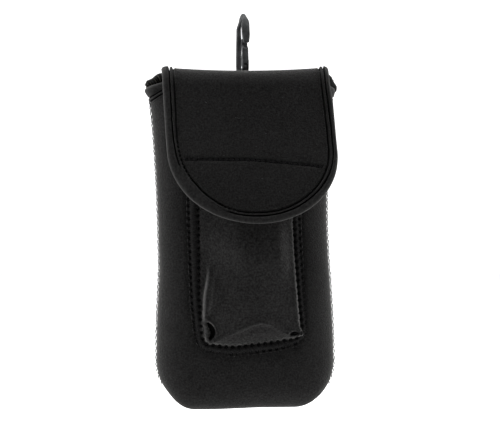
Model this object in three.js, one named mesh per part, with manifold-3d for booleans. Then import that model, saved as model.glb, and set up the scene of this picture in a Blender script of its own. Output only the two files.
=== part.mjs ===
// Flash pouch of thick foam-backed stretch fabric, with a D-shaped flap, a front pocket,
// a belt loop and a swivel snap hook on a webbing tab at the back.
// Millimetres, +Z up, -Y is the front. The origin is the centre of the flat base.

import * as THREE from "three";
import { mergeVertices } from "three/addons/utils/BufferGeometryUtils.js";
import Module from "manifold-3d";

const wasm = await Module();
wasm.setup();

// Clearances
const seatGap = 0.3; // between two pieces that lie on each other
const runningGap = 0.3; // between two pieces that move on each other

// Body
const bodyHeight = 212; // base to the middle of the mouth rim
const mouthDip = 4.5; // how much lower the rim is at the side seams
const hipHalfWidth = 57.5;
const hipHeight = 34;
const waistHalfWidth = 55;
const waistHeight = 120;
const mouthHalfWidth = 59.5;
const frontDepth = 22; // from the side seams forward
const backDepth = 14; // from the side seams backward
const seamY = 4; // where the side seams lie
const bodyWall = 3;
const cornerRun = 26; // the soft lower corners, measured along the base
const cornerRise = 32; // and up the side
const flatCore = 20; // half-width of the flat middle of each face
const coreBottom = 56; // where the faces start to turn under
const sideFlat = 0.12; // share of the depth that is square to the side seam
const baseFlat = 0.58; // share of the depth that is flat underneath
const faceSquareness = 2.4; // 2 is an ellipse, more is squarer

// Flap: one sheet that goes on from the back over the mouth and down the front
const flapHalfWidth = 51.5;
const flapWall = 3;
const foldRadius = 8.5; // both folds, to the middle of the sheet
const bridgeClearance = 1.3; // between the mouth binding and the underside of the bridge
const frontStandOff = 4.5; // between the body's face and the underside of the flap's fold
const flapLean = 12; // how much further forward the flap hangs lower down
const leanLength = 90; // over which it does so
const flapLength = 86.4; // from the end of its front fold to its lowest point
const flapRound = 44.2; // height of its round end, below the straight sides
const edgeSweep = 5; // how far the flap's side edges draw back
const edgeRise = 2.5; // how much higher the bridge is at its edges

// Edge bindings
const bindingWall = 1.2;
const bindingCover = 6; // how far a binding reaches onto the sheet
const bindingCrown = 0.8; // the extra roundness of its outer edge
const bindingEndGap = 1.2; // between the ends of two bindings in one line
const cornerCover = 4; // reach of the short bindings on the back corners
const cornerSlack = 0.6; // they lie looser, over the turn of the cloth

// Front pocket
const pocketHalfWidth = 36.5;
const pocketBottom = 34.5;
const pocketHeight = 113.5;
const pocketWall = 2;
const pocketFlange = 6;
const pocketBulge = 13; // from the body's face to the pocket's face
const pocketMouthBulge = 8.3;
const pocketFaceTopHalf = 25;
const pocketFaceBottomHalf = 29;
const pocketSlope = 5; // run of the pocket's lower wall
const taperStart = 0.75; // share of the height above which the pocket narrows to its mouth
const hemWall = 0.8;
const hemCover = 5;

// Hook-and-loop closure
const patchWall = 1.2;
const pocketPatchHalfWidth = 20;
const pocketPatchHeight = 13;
const pocketPatchMargin = 3.5; // between the hem and the patch
const flapPatchHeight = 38.2; // from the flap's lowest point to the patch's top edge
const flapPatchSide = 3; // the least length of its straight sides

// Back: belt loop, webbing tab
const loopWidth = 40;
const loopBottom = 76;
const loopLength = 92;
const loopSewn = 13; // length that is sewn down at each end
const loopStandOff = 7;
const loopRamp = 10.5; // height over which the loop leaves the back
const loopWall = 2;
const tabWidth = 20;
const tabWall = 1.8;
const tabBelowMouth = 41; // its lower end, below the middle of the mouth
const tabSewn = 13; // length that is sewn down

// Swivel snap hook
const hookX = -1.6;
const hookBehind = 12; // the swivel's axis behind the back face
const hookTurn = 11; // degrees off square to the body
const barRadius = 1.75;
const barAboveTab = 16; // the bar, above the tab's sewn stretch
const eyeWindow = 23; // inside width of the eye, for the webbing
const eyeArm = 3; // thickness of the eye's arms
const crosspieceHeight = 4.5;
const crosspieceRadius = 4.7;
const stemRadius = 2.2;
const stemHeadRadius = 3.6;
const stemHeadHeight = 1.6;
const collarHeight = 2.2;
const hookReach = 46.85; // from the collar to the top of the crown
const hookWidth = 21;
const hookThickness = 4.7;
const hookLimb = 3.9; // width of its spine, crown and nose
const collarRadius = 4.5;
const shoulderHeight = 7.5; // from the collar to the bottom of the hook's opening
const noseDrop = 20.2; // the nose's end, below the top of the crown
const hookBevel = 0.6;
const gateWidth = 3.4;
const gateOverlap = 2.6; // how far the gate's tip reaches up behind the nose
const gateTip = 1.8; // width of the tip that reaches behind the nose
const gateThickness = 4.4;
const gateTipThickness = 2.4;
const tongueThickness = 1.7; // of the body's lug inside the gate's fork
const pinRadius = 1;
const pinWall = 1.9; // of the lug and the fork round the pin

// Colours and finishes
const finishes = {
  neoprene: { color: 0x141414, roughness: 0.92, metalness: 0 },
  pocketCloth: { color: 0x191919, roughness: 0.95, metalness: 0 },
  binding: { color: 0x101010, roughness: 0.8, metalness: 0 },
  closure: { color: 0x0e0e0e, roughness: 1, metalness: 0 },
  webbing: { color: 0x161616, roughness: 0.85, metalness: 0 },
  plastic: { color: 0x1b1b1c, roughness: 0.42, metalness: 0 },
  pin: { color: 0x8a8c90, roughness: 0.35, metalness: 1 },
};

const pouch = new THREE.Group();

function addPiece(name, geometry, finish) {
  const piece = new THREE.Mesh(geometry, new THREE.MeshStandardMaterial(finishes[finish]));
  piece.name = name;
  pouch.add(piece);
  return piece;
}

// Small helpers

const lerp = THREE.MathUtils.lerp;
const clamp = THREE.MathUtils.clamp;

function smooth(value) {
  const t = clamp(value, 0, 1);
  return t * t * (3 - 2 * t);
}

function steps(from, to, count) {
  return Array.from({ length: count + 1 }, (_, i) => lerp(from, to, i / count));
}

// Open surfaces: lists of rows of points, merged into one indexed geometry.
// A point may carry its own normal, as facing.
function surfaceOf(patches, flipped = false) {
  const positions = [];
  const normals = [];
  const indices = [];
  for (const rows of patches) {
    const first = positions.length / 3;
    const across = rows[0].length;
    for (const row of rows) {
      for (const point of row) {
        positions.push(point.x, point.y, point.z);
        if (point.facing) {
          normals.push(...point.facing.toArray());
        }
      }
    }
    for (let i = 0; i + 1 < rows.length; i += 1) {
      for (let j = 0; j + 1 < across; j += 1) {
        const a = first + i * across + j;
        const b = a + across;
        indices.push(a, b, a + 1, a + 1, b, b + 1);
      }
    }
  }
  if (flipped) {
    indices.reverse();
  }
  const geometry = new THREE.BufferGeometry();
  geometry.setAttribute("position", new THREE.Float32BufferAttribute(positions, 3));
  geometry.setIndex(indices);
  if (normals.length === positions.length) {
    geometry.setAttribute("normal", new THREE.Float32BufferAttribute(normals, 3));
    return mergeVertices(geometry, 1e-3);
  }
  const merged = mergeVertices(geometry, 1e-3);
  merged.computeVertexNormals();
  return merged;
}

// Twice the signed volume's sign tells whether the faces point outward
function faceOutward(geometry) {
  const position = geometry.getAttribute("position");
  const index = geometry.getIndex();
  const a = new THREE.Vector3();
  const b = new THREE.Vector3();
  const c = new THREE.Vector3();
  let volume = 0;
  for (let i = 0; i < index.count; i += 3) {
    a.fromBufferAttribute(position, index.getX(i));
    b.fromBufferAttribute(position, index.getX(i + 1));
    c.fromBufferAttribute(position, index.getX(i + 2));
    volume += a.dot(b.cross(c));
  }
  if (volume < 0) {
    for (let i = 0; i < index.count; i += 3) {
      const second = index.getX(i + 1);
      index.setX(i + 1, index.getX(i + 2));
      index.setX(i + 2, second);
    }
  }
  geometry.computeVertexNormals();
  return geometry;
}

// A sheet of cloth: the surface is its outer face, and the wall lies behind it.
// settle moves a vertex of the inner face to where a seam or an edge wants it.
function thicken(surface, wall, settle = (inner) => inner) {
  const position = surface.getAttribute("position");
  const normal = surface.getAttribute("normal");
  const index = surface.getIndex();
  const count = position.count;
  const vertices = [];
  for (let i = 0; i < count; i += 1) {
    vertices.push(new THREE.Vector3().fromBufferAttribute(position, i));
  }
  for (let i = 0; i < count; i += 1) {
    const inward = new THREE.Vector3().fromBufferAttribute(normal, i).multiplyScalar(-wall);
    vertices.push(settle(vertices[i].clone().add(inward), vertices[i]));
  }
  const faces = [];
  const edges = new Map();
  for (let i = 0; i < index.count; i += 3) {
    const corners = [index.getX(i), index.getX(i + 1), index.getX(i + 2)];
    faces.push(...corners);
    faces.push(corners[0] + count, corners[2] + count, corners[1] + count);
    for (let k = 0; k < 3; k += 1) {
      const from = corners[k];
      const to = corners[(k + 1) % 3];
      const opposite = `${to},${from}`;
      if (edges.has(opposite)) {
        edges.delete(opposite);
      } else {
        edges.set(`${from},${to}`, [from, to]);
      }
    }
  }
  for (const [from, to] of edges.values()) {
    faces.push(to, from, from + count);
    faces.push(to, from + count, to + count);
  }
  const geometry = new THREE.BufferGeometry();
  const flat = vertices.flatMap((vertex) => vertex.toArray());
  geometry.setAttribute("position", new THREE.Float32BufferAttribute(flat, 3));
  geometry.setIndex(faces);
  return faceOutward(geometry);
}

// A closed section of 2D points swept along a line of stations.
// Each station has a place and the two directions in which the section's x and y lie.
function sweep(stations, section) {
  const positions = [];
  for (const station of stations) {
    for (const corner of section) {
      const point = station.place.clone();
      point.addScaledVector(station.across, corner.x);
      point.addScaledVector(station.out, corner.y);
      positions.push(...point.toArray());
    }
  }
  const around = section.length;
  const indices = [];
  for (let i = 0; i + 1 < stations.length; i += 1) {
    for (let j = 0; j < around; j += 1) {
      const next = (j + 1) % around;
      const a = i * around + j;
      const b = i * around + next;
      indices.push(a, b, a + around);
      indices.push(b, b + around, a + around);
    }
  }
  const last = (stations.length - 1) * around;
  for (const [i, j, k] of THREE.ShapeUtils.triangulateShape(section, [])) {
    indices.push(k, j, i);
    indices.push(last + i, last + j, last + k);
  }
  const geometry = new THREE.BufferGeometry();
  geometry.setAttribute("position", new THREE.Float32BufferAttribute(positions, 3));
  geometry.setIndex(indices);
  return faceOutward(geometry);
}

// Stations along a line of points on a sheet: across is the sheet's normal, out leads over its edge
function stationsAlong(points, normals) {
  return points.map((place, i) => {
    const before = points[Math.max(i - 1, 0)];
    const after = points[Math.min(i + 1, points.length - 1)];
    const along = after.clone().sub(before).normalize();
    const across = normals[i].clone().addScaledVector(along, -normals[i].dot(along)).normalize();
    const out = new THREE.Vector3().crossVectors(along, across).normalize();
    return { place, across, out };
  });
}

// The section of an edge binding: a folded strip that wraps the edge of a sheet
function bindingSection(sheetWall, wall, cover, crown) {
  const inside = sheetWall / 2 + seatGap;
  const outside = inside + wall;
  const top = seatGap + wall;
  const shoulder = { out: outside * 0.6, up: top * 0.8 }; // a point of the rounded edge
  const corners = [
    [outside, -cover],
    [outside + crown / 2, -cover / 2],
    [outside, 0],
    [shoulder.out, shoulder.up],
    [0, top + crown / 2],
    [-shoulder.out, shoulder.up],
    [-outside, 0],
    [-outside - crown / 2, -cover / 2],
    [-outside, -cover],
    [-inside, -cover],
    [-inside, seatGap],
    [inside, seatGap],
    [inside, -cover],
  ];
  return corners.map(([x, y]) => new THREE.Vector2(x, y));
}

// Joins and cuts of closed solids

function solidOf(geometry) {
  const bare = geometry.clone();
  bare.deleteAttribute("normal");
  bare.deleteAttribute("uv");
  const merged = mergeVertices(bare, 1e-4);
  const index = merged.getIndex() ?? [];
  return new wasm.Manifold(
    new wasm.Mesh({
      numProp: 3,
      vertProperties: new Float32Array(merged.getAttribute("position").array),
      triVerts: new Uint32Array(index.array),
    }),
  );
}

function geometryOf(solid) {
  const mesh = solid.getMesh();
  const geometry = new THREE.BufferGeometry();
  const position = new Float32Array(mesh.vertProperties);
  geometry.setAttribute("position", new THREE.BufferAttribute(position, 3));
  geometry.setIndex(new THREE.BufferAttribute(new Uint32Array(mesh.triVerts), 1));
  geometry.computeVertexNormals();
  return geometry;
}

function boxBetween(low, high) {
  const size = new THREE.Vector3().subVectors(high, low);
  const box = new THREE.BoxGeometry(size.x, size.y, size.z);
  const middle = new THREE.Vector3().addVectors(low, high).multiplyScalar(0.5);
  return box.translate(middle.x, middle.y, middle.z);
}

// Body panels

function halfWidthAt(z) {
  if (z < waistHeight) {
    return lerp(waistHalfWidth, hipHalfWidth, smooth((waistHeight - z) / (waistHeight - hipHeight)));
  }
  const rise = (z - waistHeight) / (bodyHeight - mouthDip - waistHeight);
  return lerp(waistHalfWidth, mouthHalfWidth, rise * rise);
}

const sideSteps = 11;
const cornerSteps = 5;
const baseSteps = 4;
const ringSteps = 6;

// A point of a body panel between the seam (share 0) and the flat middle of the face (share 1).
// facing is -1 for the front panel and 1 for the back panel.
function panelPoint(edge, core, flatShare, depth, facing, share) {
  const flatEnd = 1 / ringSteps;
  let forward = flatShare * (share / flatEnd);
  let inward = 0;
  if (share > flatEnd) {
    const angle = (Math.PI / 2) * ((share - flatEnd) / (1 - flatEnd));
    const power = 2 / faceSquareness;
    forward = flatShare + (1 - flatShare) * Math.pow(Math.sin(angle), power);
    inward = 1 - Math.pow(Math.max(Math.cos(angle), 0), power);
  }
  const y = seamY + facing * (seatGap / 2 + (depth - seatGap / 2) * forward);
  return new THREE.Vector3(lerp(edge.x, core.x, inward), y, lerp(edge.z, core.z, inward));
}

// The lower edge of a panel from the left corner's top, under the base, to the right corner's top
function lowerEdge() {
  const hip = halfWidthAt(cornerRise);
  const baseHalf = hip - cornerRun;
  const edge = [];
  for (const angle of steps(0, Math.PI / 2, cornerSteps)) {
    const x = -hip + cornerRun * (1 - Math.cos(angle));
    const z = cornerRise * (1 - Math.sin(angle));
    edge.push({ x, z, under: smooth(angle / (Math.PI / 2)) });
  }
  for (const x of steps(-baseHalf, baseHalf, baseSteps).slice(1, -1)) {
    edge.push({ x, z: 0, under: 1 });
  }
  const right = edge.slice(0, cornerSteps + 1).reverse();
  return edge.concat(right.map((point) => ({ ...point, x: -point.x })));
}

const shares = steps(0, 1, ringSteps);
const lower = lowerEdge();
const coreColumns = steps(-flatCore, flatCore, lower.length - 1);

// Rows from the mouth rim down to where the corners start
function panelRows(depth, facing) {
  const rows = [];
  for (const down of steps(0, 1, sideSteps)) {
    const edgeZ = lerp(bodyHeight - mouthDip, cornerRise, down);
    const coreZ = lerp(bodyHeight, coreBottom, down);
    const halfWidth = halfWidthAt(edgeZ);
    const half = (side) =>
      shares.map((share) => {
        const edge = { x: side * halfWidth, z: edgeZ };
        const core = { x: side * flatCore, z: coreZ };
        return panelPoint(edge, core, sideFlat, depth, facing, share);
      });
    const middle = coreColumns
      .slice(1, -1)
      .map((x) => new THREE.Vector3(x, seamY + facing * depth, coreZ));
    rows.push([...half(-1), ...middle, ...half(1).reverse()]);
  }
  return rows;
}

function panelSurface(depth, facing, rows) {
  const lowerRows = lower.map((edge, i) => {
    const core = { x: coreColumns[i], z: coreBottom };
    const flatShare = lerp(sideFlat, baseFlat, edge.under);
    return shares.map((share) => panelPoint(edge, core, flatShare, depth, facing, share));
  });
  return surfaceOf([rows, lowerRows], facing > 0);
}

// The inner face of a panel ends in the seam plane too, and never crosses it
function settleOnSeam(inner, outer) {
  if (Math.abs(outer.y - seamY) < seatGap) {
    inner.y = outer.y;
  } else if (outer.y > seamY) {
    inner.y = Math.max(inner.y, seamY + seatGap / 2);
  } else {
    inner.y = Math.min(inner.y, seamY - seatGap / 2);
  }
  return inner;
}

const frontSurface = panelSurface(frontDepth, -1, panelRows(frontDepth, -1));
addPiece("front_panel", thicken(frontSurface, bodyWall, settleOnSeam), "neoprene");

// Back panel: its top goes on into the flap's neck, up to the middle of the back fold

const backFaceY = seamY + backDepth;
const frontFaceY = seamY - frontDepth;
const foldOuter = foldRadius + flapWall / 2;
const mouthBindingTop = bodyHeight + seatGap + bindingWall + bindingCrown / 2;
const bridgeTop = mouthBindingTop + bridgeClearance + flapWall;
const foldCentreZ = bridgeTop - foldOuter;
const backFoldY = backFaceY - foldOuter;
const flapFrontY = frontFaceY - frontStandOff - flapWall;
const frontFoldY = flapFrontY + foldOuter;
const foldLength = (Math.PI / 2) * foldOuter;
const bridgeLength = backFoldY - frontFoldY;
const backCut = foldLength / 2;
const frontCut = foldLength + bridgeLength + foldLength / 2;
const frontStart = 2 * foldLength + bridgeLength;

// The outer face of the flap's sheet: x across, run measured from the back fold's lower end
function flapSurface(x, run) {
  const edge = (x / flapHalfWidth) ** 2;
  if (run < foldLength) {
    const angle = run / foldOuter;
    const y = backFoldY + foldOuter * Math.cos(angle) - edgeSweep * edge;
    const rise = edgeRise * edge * Math.sin(angle);
    return new THREE.Vector3(x, y, foldCentreZ + foldOuter * Math.sin(angle) + rise);
  }
  if (run < foldLength + bridgeLength) {
    const share = (run - foldLength) / bridgeLength;
    const y = lerp(backFoldY - edgeSweep * edge, frontFoldY + edgeSweep * edge, share);
    return new THREE.Vector3(x, y, bridgeTop + edgeRise * edge);
  }
  if (run < frontStart) {
    const angle = (run - foldLength - bridgeLength) / foldOuter;
    const y = frontFoldY - foldOuter * Math.sin(angle) + edgeSweep * edge;
    const rise = edgeRise * edge * Math.cos(angle);
    return new THREE.Vector3(x, y, foldCentreZ + foldOuter * Math.cos(angle) + rise);
  }
  const down = run - frontStart;
  const lean = (flapLean * (1 - Math.cos(Math.PI * clamp(down / leanLength, 0, 1)))) / 2;
  return new THREE.Vector3(x, flapFrontY - lean + edgeSweep * edge, foldCentreZ - down);
}

function flapPoint(x, run) {
  const point = flapSurface(x, run);
  point.facing = flapNormal(x, run);
  return point;
}

function flapNormal(x, run) {
  const reach = 0.2;
  const side = flapSurface(x + reach, run).sub(flapSurface(x - reach, run));
  const down = flapSurface(x, run + reach).sub(flapSurface(x, run - reach));
  return down.cross(side).normalize();
}

const neckColumn = 3; // the column of the panel that the flap's edge rises from
const neckEnd = backCut - seatGap / 2;
const neckRuns = steps(0, neckEnd, 3);

function neckRows(rows) {
  const [top, second] = rows;
  const last = top.length - 1;
  const neckX = Math.abs(top[neckColumn].x);
  const corner = flapSurface(flapHalfWidth, neckEnd);
  const newRows = neckRuns.map((run, level) =>
    top.map((point, i) => {
      const column = Math.min(i, last - i);
      const side = Math.sign(point.x);
      const beyond = Math.max(Math.abs(point.x) - flatCore, 0);
      const squeeze = (flapHalfWidth - flatCore) / (neckX - flatCore);
      if (column >= neckColumn) {
        const x = beyond > 0 ? side * (flatCore + beyond * squeeze) : point.x;
        return flapSurface(x, run);
      }
      const seam = top[0];
      const share = (Math.abs(point.x) - neckX) / (Math.abs(seam.x) - neckX);
      const rim = new THREE.Vector3(
        side * lerp(corner.x, Math.abs(seam.x), share),
        lerp(corner.y, seam.y, column === 0 ? 1 : share * share),
        lerp(corner.z, seam.z, share),
      );
      if (column === 1) {
        rim.y = lerp(seam.y, rim.y, 0.5) + seatGap;
      }
      const reach = lerp(0.5, 1, level / (neckRuns.length - 1));
      return second[i].clone().lerp(rim, reach);
    }),
  );
  return [...newRows.reverse(), ...rows.slice(1)];
}

// The neck's end faces the bridge's end squarely
function settleNeck(inner, outer) {
  const edge = (outer.x / flapHalfWidth) ** 2;
  const up = outer.z - foldCentreZ;
  if (up > seatGap && Math.abs(outer.x) <= flapHalfWidth + seatGap) {
    const out = outer.y - backFoldY + edgeSweep * edge;
    const run = Math.atan2(up, out) * foldOuter;
    return outer.clone().addScaledVector(flapNormal(outer.x, run), -bodyWall);
  }
  return settleOnSeam(inner, outer);
}

const backSurface = panelSurface(backDepth, 1, neckRows(panelRows(backDepth, 1)));
addPiece("back_panel", thicken(backSurface, bodyWall, settleNeck), "neoprene");

// Flap: the bridge over the mouth, and the D-shaped front

const acrossSteps = 18;
const angles = steps(-Math.PI / 2, Math.PI / 2, acrossSteps);

function flapRows(runs) {
  return runs.map((run) => angles.map((angle) => flapPoint(flapHalfWidth * Math.sin(angle), run)));
}

const bridgeRuns = [
  ...steps(backCut + seatGap / 2, foldLength, 3),
  ...steps(foldLength, foldLength + bridgeLength, 3).slice(1, -1),
  ...steps(foldLength + bridgeLength, frontCut - seatGap / 2, 3),
];
addPiece("flap_bridge", thicken(surfaceOf([flapRows(bridgeRuns)]), flapWall), "neoprene");

const straightRun = frontStart + flapLength - flapRound;
const roundRun = flapRound;

function roundEnd(angle) {
  return straightRun + roundRun * Math.cos(angle);
}

const foldRuns = steps(frontCut + seatGap / 2, frontStart, 3);
const frontRows = steps(0, 1, 12)
  .slice(1)
  .map((share) =>
    angles.map((angle) => {
      const x = flapHalfWidth * Math.sin(angle);
      return flapPoint(x, lerp(frontStart, roundEnd(angle), share));
    }),
  );
const flapSheet = surfaceOf([[...flapRows(foldRuns), ...frontRows]]);
addPiece("flap_front", thicken(flapSheet, flapWall), "neoprene");

// Bindings

function flapStations(places) {
  const middles = places.map(([x, run]) =>
    flapSurface(x, run).addScaledVector(flapNormal(x, run), -flapWall / 2),
  );
  return stationsAlong(middles, places.map(([x, run]) => flapNormal(x, run)));
}

const bodyBinding = bindingSection(bodyWall, bindingWall, bindingCover, bindingCrown);
const flapBinding = bindingSection(flapWall, bindingWall, bindingCover, bindingCrown);

const foldBindingRuns = [frontCut + bindingEndGap, ...foldRuns.slice(1)];
const sideBindingRuns = steps(frontStart, straightRun, 6).slice(1);
const leftSide = [...foldBindingRuns, ...sideBindingRuns].map((run) => [-flapHalfWidth, run]);
const roundSide = steps(-Math.PI / 2, Math.PI / 2, 22)
  .slice(1, -1)
  .map((angle) => [flapHalfWidth * Math.sin(angle), roundEnd(angle)]);
const rightSide = leftSide.map(([x, run]) => [-x, run]).reverse();
const flapEdge = [...leftSide, ...roundSide, ...rightSide];
addPiece("flap_binding", sweep(flapStations(flapEdge), flapBinding), "binding");

for (const [side, name] of [[-1, "left"], [1, "right"]]) {
  const between = bridgeRuns.slice(1, -1);
  const runs = [backCut + bindingEndGap, ...between, frontCut - bindingEndGap];
  const edge = runs.map((run) => [side * flapHalfWidth, run]);
  const stations = flapStations(edge);
  if (side > 0) {
    stations.forEach((station) => station.out.negate());
  }
  addPiece(`bridge_binding_${name}`, sweep(stations, flapBinding), "binding");
}

function nearestNormal(surface, point) {
  const position = surface.getAttribute("position");
  const vertex = new THREE.Vector3();
  let nearest = 0;
  let least = Infinity;
  for (let i = 0; i < position.count; i += 1) {
    const distance = vertex.fromBufferAttribute(position, i).distanceTo(point);
    if (distance < least) {
      least = distance;
      nearest = i;
    }
  }
  return vertex.fromBufferAttribute(surface.getAttribute("normal"), nearest).clone();
}

// The mouth binding runs round the front panel's rim, the corner bindings down the back's slopes

function rimStations(surface, points, wall) {
  const normals = points.map((point) => nearestNormal(surface, point));
  const middles = points.map((point, i) => point.clone().addScaledVector(normals[i], -wall / 2));
  return stationsAlong(middles, normals);
}

function upward(stations) {
  stations.forEach((station) => {
    if (station.out.z < 0) {
      station.out.negate();
    }
  });
  return stations;
}

const frontRim = panelRows(frontDepth, -1)[0];
const mouthStations = upward(rimStations(frontSurface, frontRim, bodyWall));
addPiece("mouth_binding", sweep(mouthStations, bodyBinding), "binding");

const cornerBinding = bindingSection(
  bodyWall + 2 * cornerSlack,
  bindingWall,
  cornerCover,
  bindingCrown,
);
const backRim = neckRows(panelRows(backDepth, 1))[0];
const beyondSeam = solidOf(
  boxBetween(
    new THREE.Vector3(-2 * mouthHalfWidth, -frontDepth, 0),
    new THREE.Vector3(2 * mouthHalfWidth, seamY + seatGap / 2, 2 * bodyHeight),
  ),
);
for (const [side, name] of [[-1, "left"], [1, "right"]]) {
  const slope = side < 0 ? backRim.slice(0, neckColumn + 1) : backRim.slice(-neckColumn - 1).reverse();
  const corner = slope[neckColumn];
  const before = slope[neckColumn - 1];
  const length = corner.distanceTo(before);
  slope[neckColumn] = corner.clone().lerp(before, (bindingCover / 2) / length);
  const stations = upward(rimStations(backSurface, slope, bodyWall));
  const folded = solidOf(sweep(stations, cornerBinding));
  addPiece(`back_binding_${name}`, geometryOf(folded.subtract(beyondSeam)), "binding");
}

// Front pocket, shaped by how far it stands off the body's face

const bodyFace = new THREE.Mesh(frontSurface, new THREE.MeshStandardMaterial({ side: THREE.DoubleSide }));
const probe = new THREE.Raycaster();

// Where the front panel's outer face lies, looked at from the front
function bodyFaceY(x, z) {
  const far = -3 * frontDepth;
  probe.set(new THREE.Vector3(x, far, z), new THREE.Vector3(0, 1, 0));
  const hits = probe.intersectObject(bodyFace);
  return hits.length > 0 ? hits[0].point.y : seamY;
}

const pocketTop = pocketBottom + pocketHeight;

function pocketStandOff(x, z) {
  const up = (z - pocketBottom) / pocketHeight;
  const faceHalf = lerp(pocketFaceBottomHalf, pocketFaceTopHalf, up);
  const flangeInner = pocketHalfWidth - pocketFlange;
  const rim = (flangeInner - Math.abs(x)) / (flangeInner - faceHalf);
  const fromSides = Math.sin((Math.PI / 2) * clamp(rim, 0, 1));
  const fromBottom = Math.sin((Math.PI / 2) * clamp((z - pocketBottom - pocketFlange) / pocketSlope, 0, 1));
  const bulge = lerp(pocketBulge, pocketMouthBulge, smooth((up - taperStart) / (1 - taperStart)));
  return (bulge - pocketWall - seatGap) * Math.sqrt(fromSides) * Math.sqrt(fromBottom);
}

function pocketPoint(x, z) {
  const y = bodyFaceY(x, z) - seatGap - pocketWall - pocketStandOff(x, z);
  return new THREE.Vector3(x, y, z);
}

const flangeInner = pocketHalfWidth - pocketFlange;
const halfColumns = [0, 0.45, 0.8, 1].map((share) => share * pocketFaceTopHalf * 0.9);
const wallColumns = steps(pocketFaceTopHalf, flangeInner, 5);
const rightColumns = [...halfColumns, ...wallColumns, pocketHalfWidth];
const pocketColumns = [...rightColumns.slice(1).map((x) => -x).reverse(), ...rightColumns];
const pocketLevels = [
  pocketBottom,
  ...steps(pocketBottom + pocketFlange, pocketBottom + pocketFlange + pocketSlope, 3),
  ...steps(pocketBottom + pocketFlange + pocketSlope, pocketTop, 9).slice(1),
];
const pocketSurface = surfaceOf([
  pocketLevels.toReversed().map((z) => pocketColumns.map((x) => pocketPoint(x, z))),
]);

// The pocket's inner face never comes closer to the body than the gap
function settlePocket(inner) {
  inner.y = Math.min(inner.y, bodyFaceY(inner.x, inner.z) - seatGap);
  return inner;
}

addPiece("pocket", thicken(pocketSurface, pocketWall, settlePocket), "pocketCloth");

// The hem folds over the pocket's top edge where it stands off the body
const hemColumns = pocketColumns.filter((x) => Math.abs(x) < pocketFaceTopHalf + seatGap);
const hemEdge = hemColumns.map((x) => pocketPoint(x, pocketTop));
const hemSection = bindingSection(pocketWall, hemWall, hemCover, bindingCrown);
addPiece("pocket_hem", sweep(upward(rimStations(pocketSurface, hemEdge, pocketWall)), hemSection), "pocketCloth");

// Hook-and-loop closure: one patch on the pocket, one under the flap

const pocketPatchTop = pocketTop - hemCover - 2 * pocketPatchMargin;
const patchColumns = steps(-pocketPatchHalfWidth, pocketPatchHalfWidth, 6);
const patchLevels = steps(pocketPatchTop, pocketPatchTop - pocketPatchHeight, 4);
const pocketPatch = surfaceOf([
  patchLevels.map((z) =>
    patchColumns.map((x) => {
      const point = pocketPoint(x, z);
      point.y -= seatGap + patchWall;
      return point;
    }),
  ),
]);
addPiece("pocket_closure", thicken(pocketPatch, patchWall), "closure");

const patchInset = bindingCover + 2 * seatGap;
const patchHalfWidth = flapHalfWidth - patchInset;
const patchTopRun = frontStart + flapLength - flapPatchHeight;
const patchRound = roundRun - patchInset;

function underFlap(x, run) {
  const normal = flapNormal(x, run);
  const point = flapSurface(x, run).addScaledVector(normal, -flapWall - seatGap);
  point.facing = normal;
  return point;
}

const sideShare = (patchTopRun + flapPatchSide - straightRun) / patchRound;
const widestAngle = Math.acos(clamp(sideShare, 0, 1));
const patchAngles = steps(-widestAngle, widestAngle, 14);
const flapPatch = surfaceOf([
  steps(0, 1, 5).map((share) =>
    patchAngles.map((angle) => {
      const bottom = straightRun + patchRound * Math.cos(angle);
      return underFlap(patchHalfWidth * Math.sin(angle), lerp(patchTopRun, bottom, share));
    }),
  ),
]);
addPiece("flap_closure", thicken(flapPatch, patchWall), "closure");

// Back: a strap lies in a plane square to X, given as a line of [y, z] points

function strap(line, width, wall, x) {
  const centre = line.map(([y, z]) => new THREE.Vector3(x, y, z));
  const sideways = new THREE.Vector3(1, 0, 0);
  const stations = centre.map((place, i) => {
    const before = centre[Math.max(i - 1, 0)];
    const after = centre[Math.min(i + 1, centre.length - 1)];
    const along = after.clone().sub(before).normalize();
    return { place, across: sideways, out: new THREE.Vector3().crossVectors(sideways, along) };
  });
  const section = [
    [-width / 2, -wall / 2],
    [width / 2, -wall / 2],
    [width / 2, wall / 2],
    [-width / 2, wall / 2],
  ].map(([across, out]) => new THREE.Vector2(across, out));
  return sweep(stations, section);
}

const loopSeatY = backFaceY + seatGap + loopWall / 2;
const loopTop = loopBottom + loopLength;
const loopLine = [[loopSeatY, loopBottom]];
for (const share of steps(0, 1, 5)) {
  const z = loopBottom + loopSewn + loopRamp * share;
  loopLine.push([loopSeatY + loopStandOff * smooth(share), z]);
}
for (const share of steps(1, 0, 5)) {
  const z = loopTop - loopSewn - loopRamp * share;
  loopLine.push([loopSeatY + loopStandOff * smooth(share), z]);
}
loopLine.push([loopSeatY, loopTop]);
addPiece("belt_loop", strap(loopLine, loopWidth, loopWall, 0), "webbing");

const tabBottom = bodyHeight - tabBelowMouth;
const tabSewnTop = tabBottom + tabSewn;
const barHeight = tabSewnTop + barAboveTab;
const barY = backFaceY + hookBehind;
const wrapRadius = barRadius + runningGap + tabWall / 2;
const innerLayerY = backFaceY + seatGap + tabWall / 2;
const outerLayerY = innerLayerY + tabWall + seatGap;
const tabLean = Math.atan2(barY - (innerLayerY + outerLayerY) / 2, barHeight - tabSewnTop);
const tabLine = [[innerLayerY, tabBottom], [innerLayerY, tabSewnTop]];
for (const angle of steps(Math.PI - tabLean, -tabLean, 12)) {
  tabLine.push([barY + wrapRadius * Math.cos(angle), barHeight + wrapRadius * Math.sin(angle)]);
}
tabLine.push([outerLayerY, tabSewnTop], [outerLayerY, tabBottom]);
addPiece("hook_tab", strap(tabLine, tabWidth, tabWall, hookX), "webbing");

// Snap hook. The eye's bar lies in the webbing loop; the hook turns in the eye's crosspiece.

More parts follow.
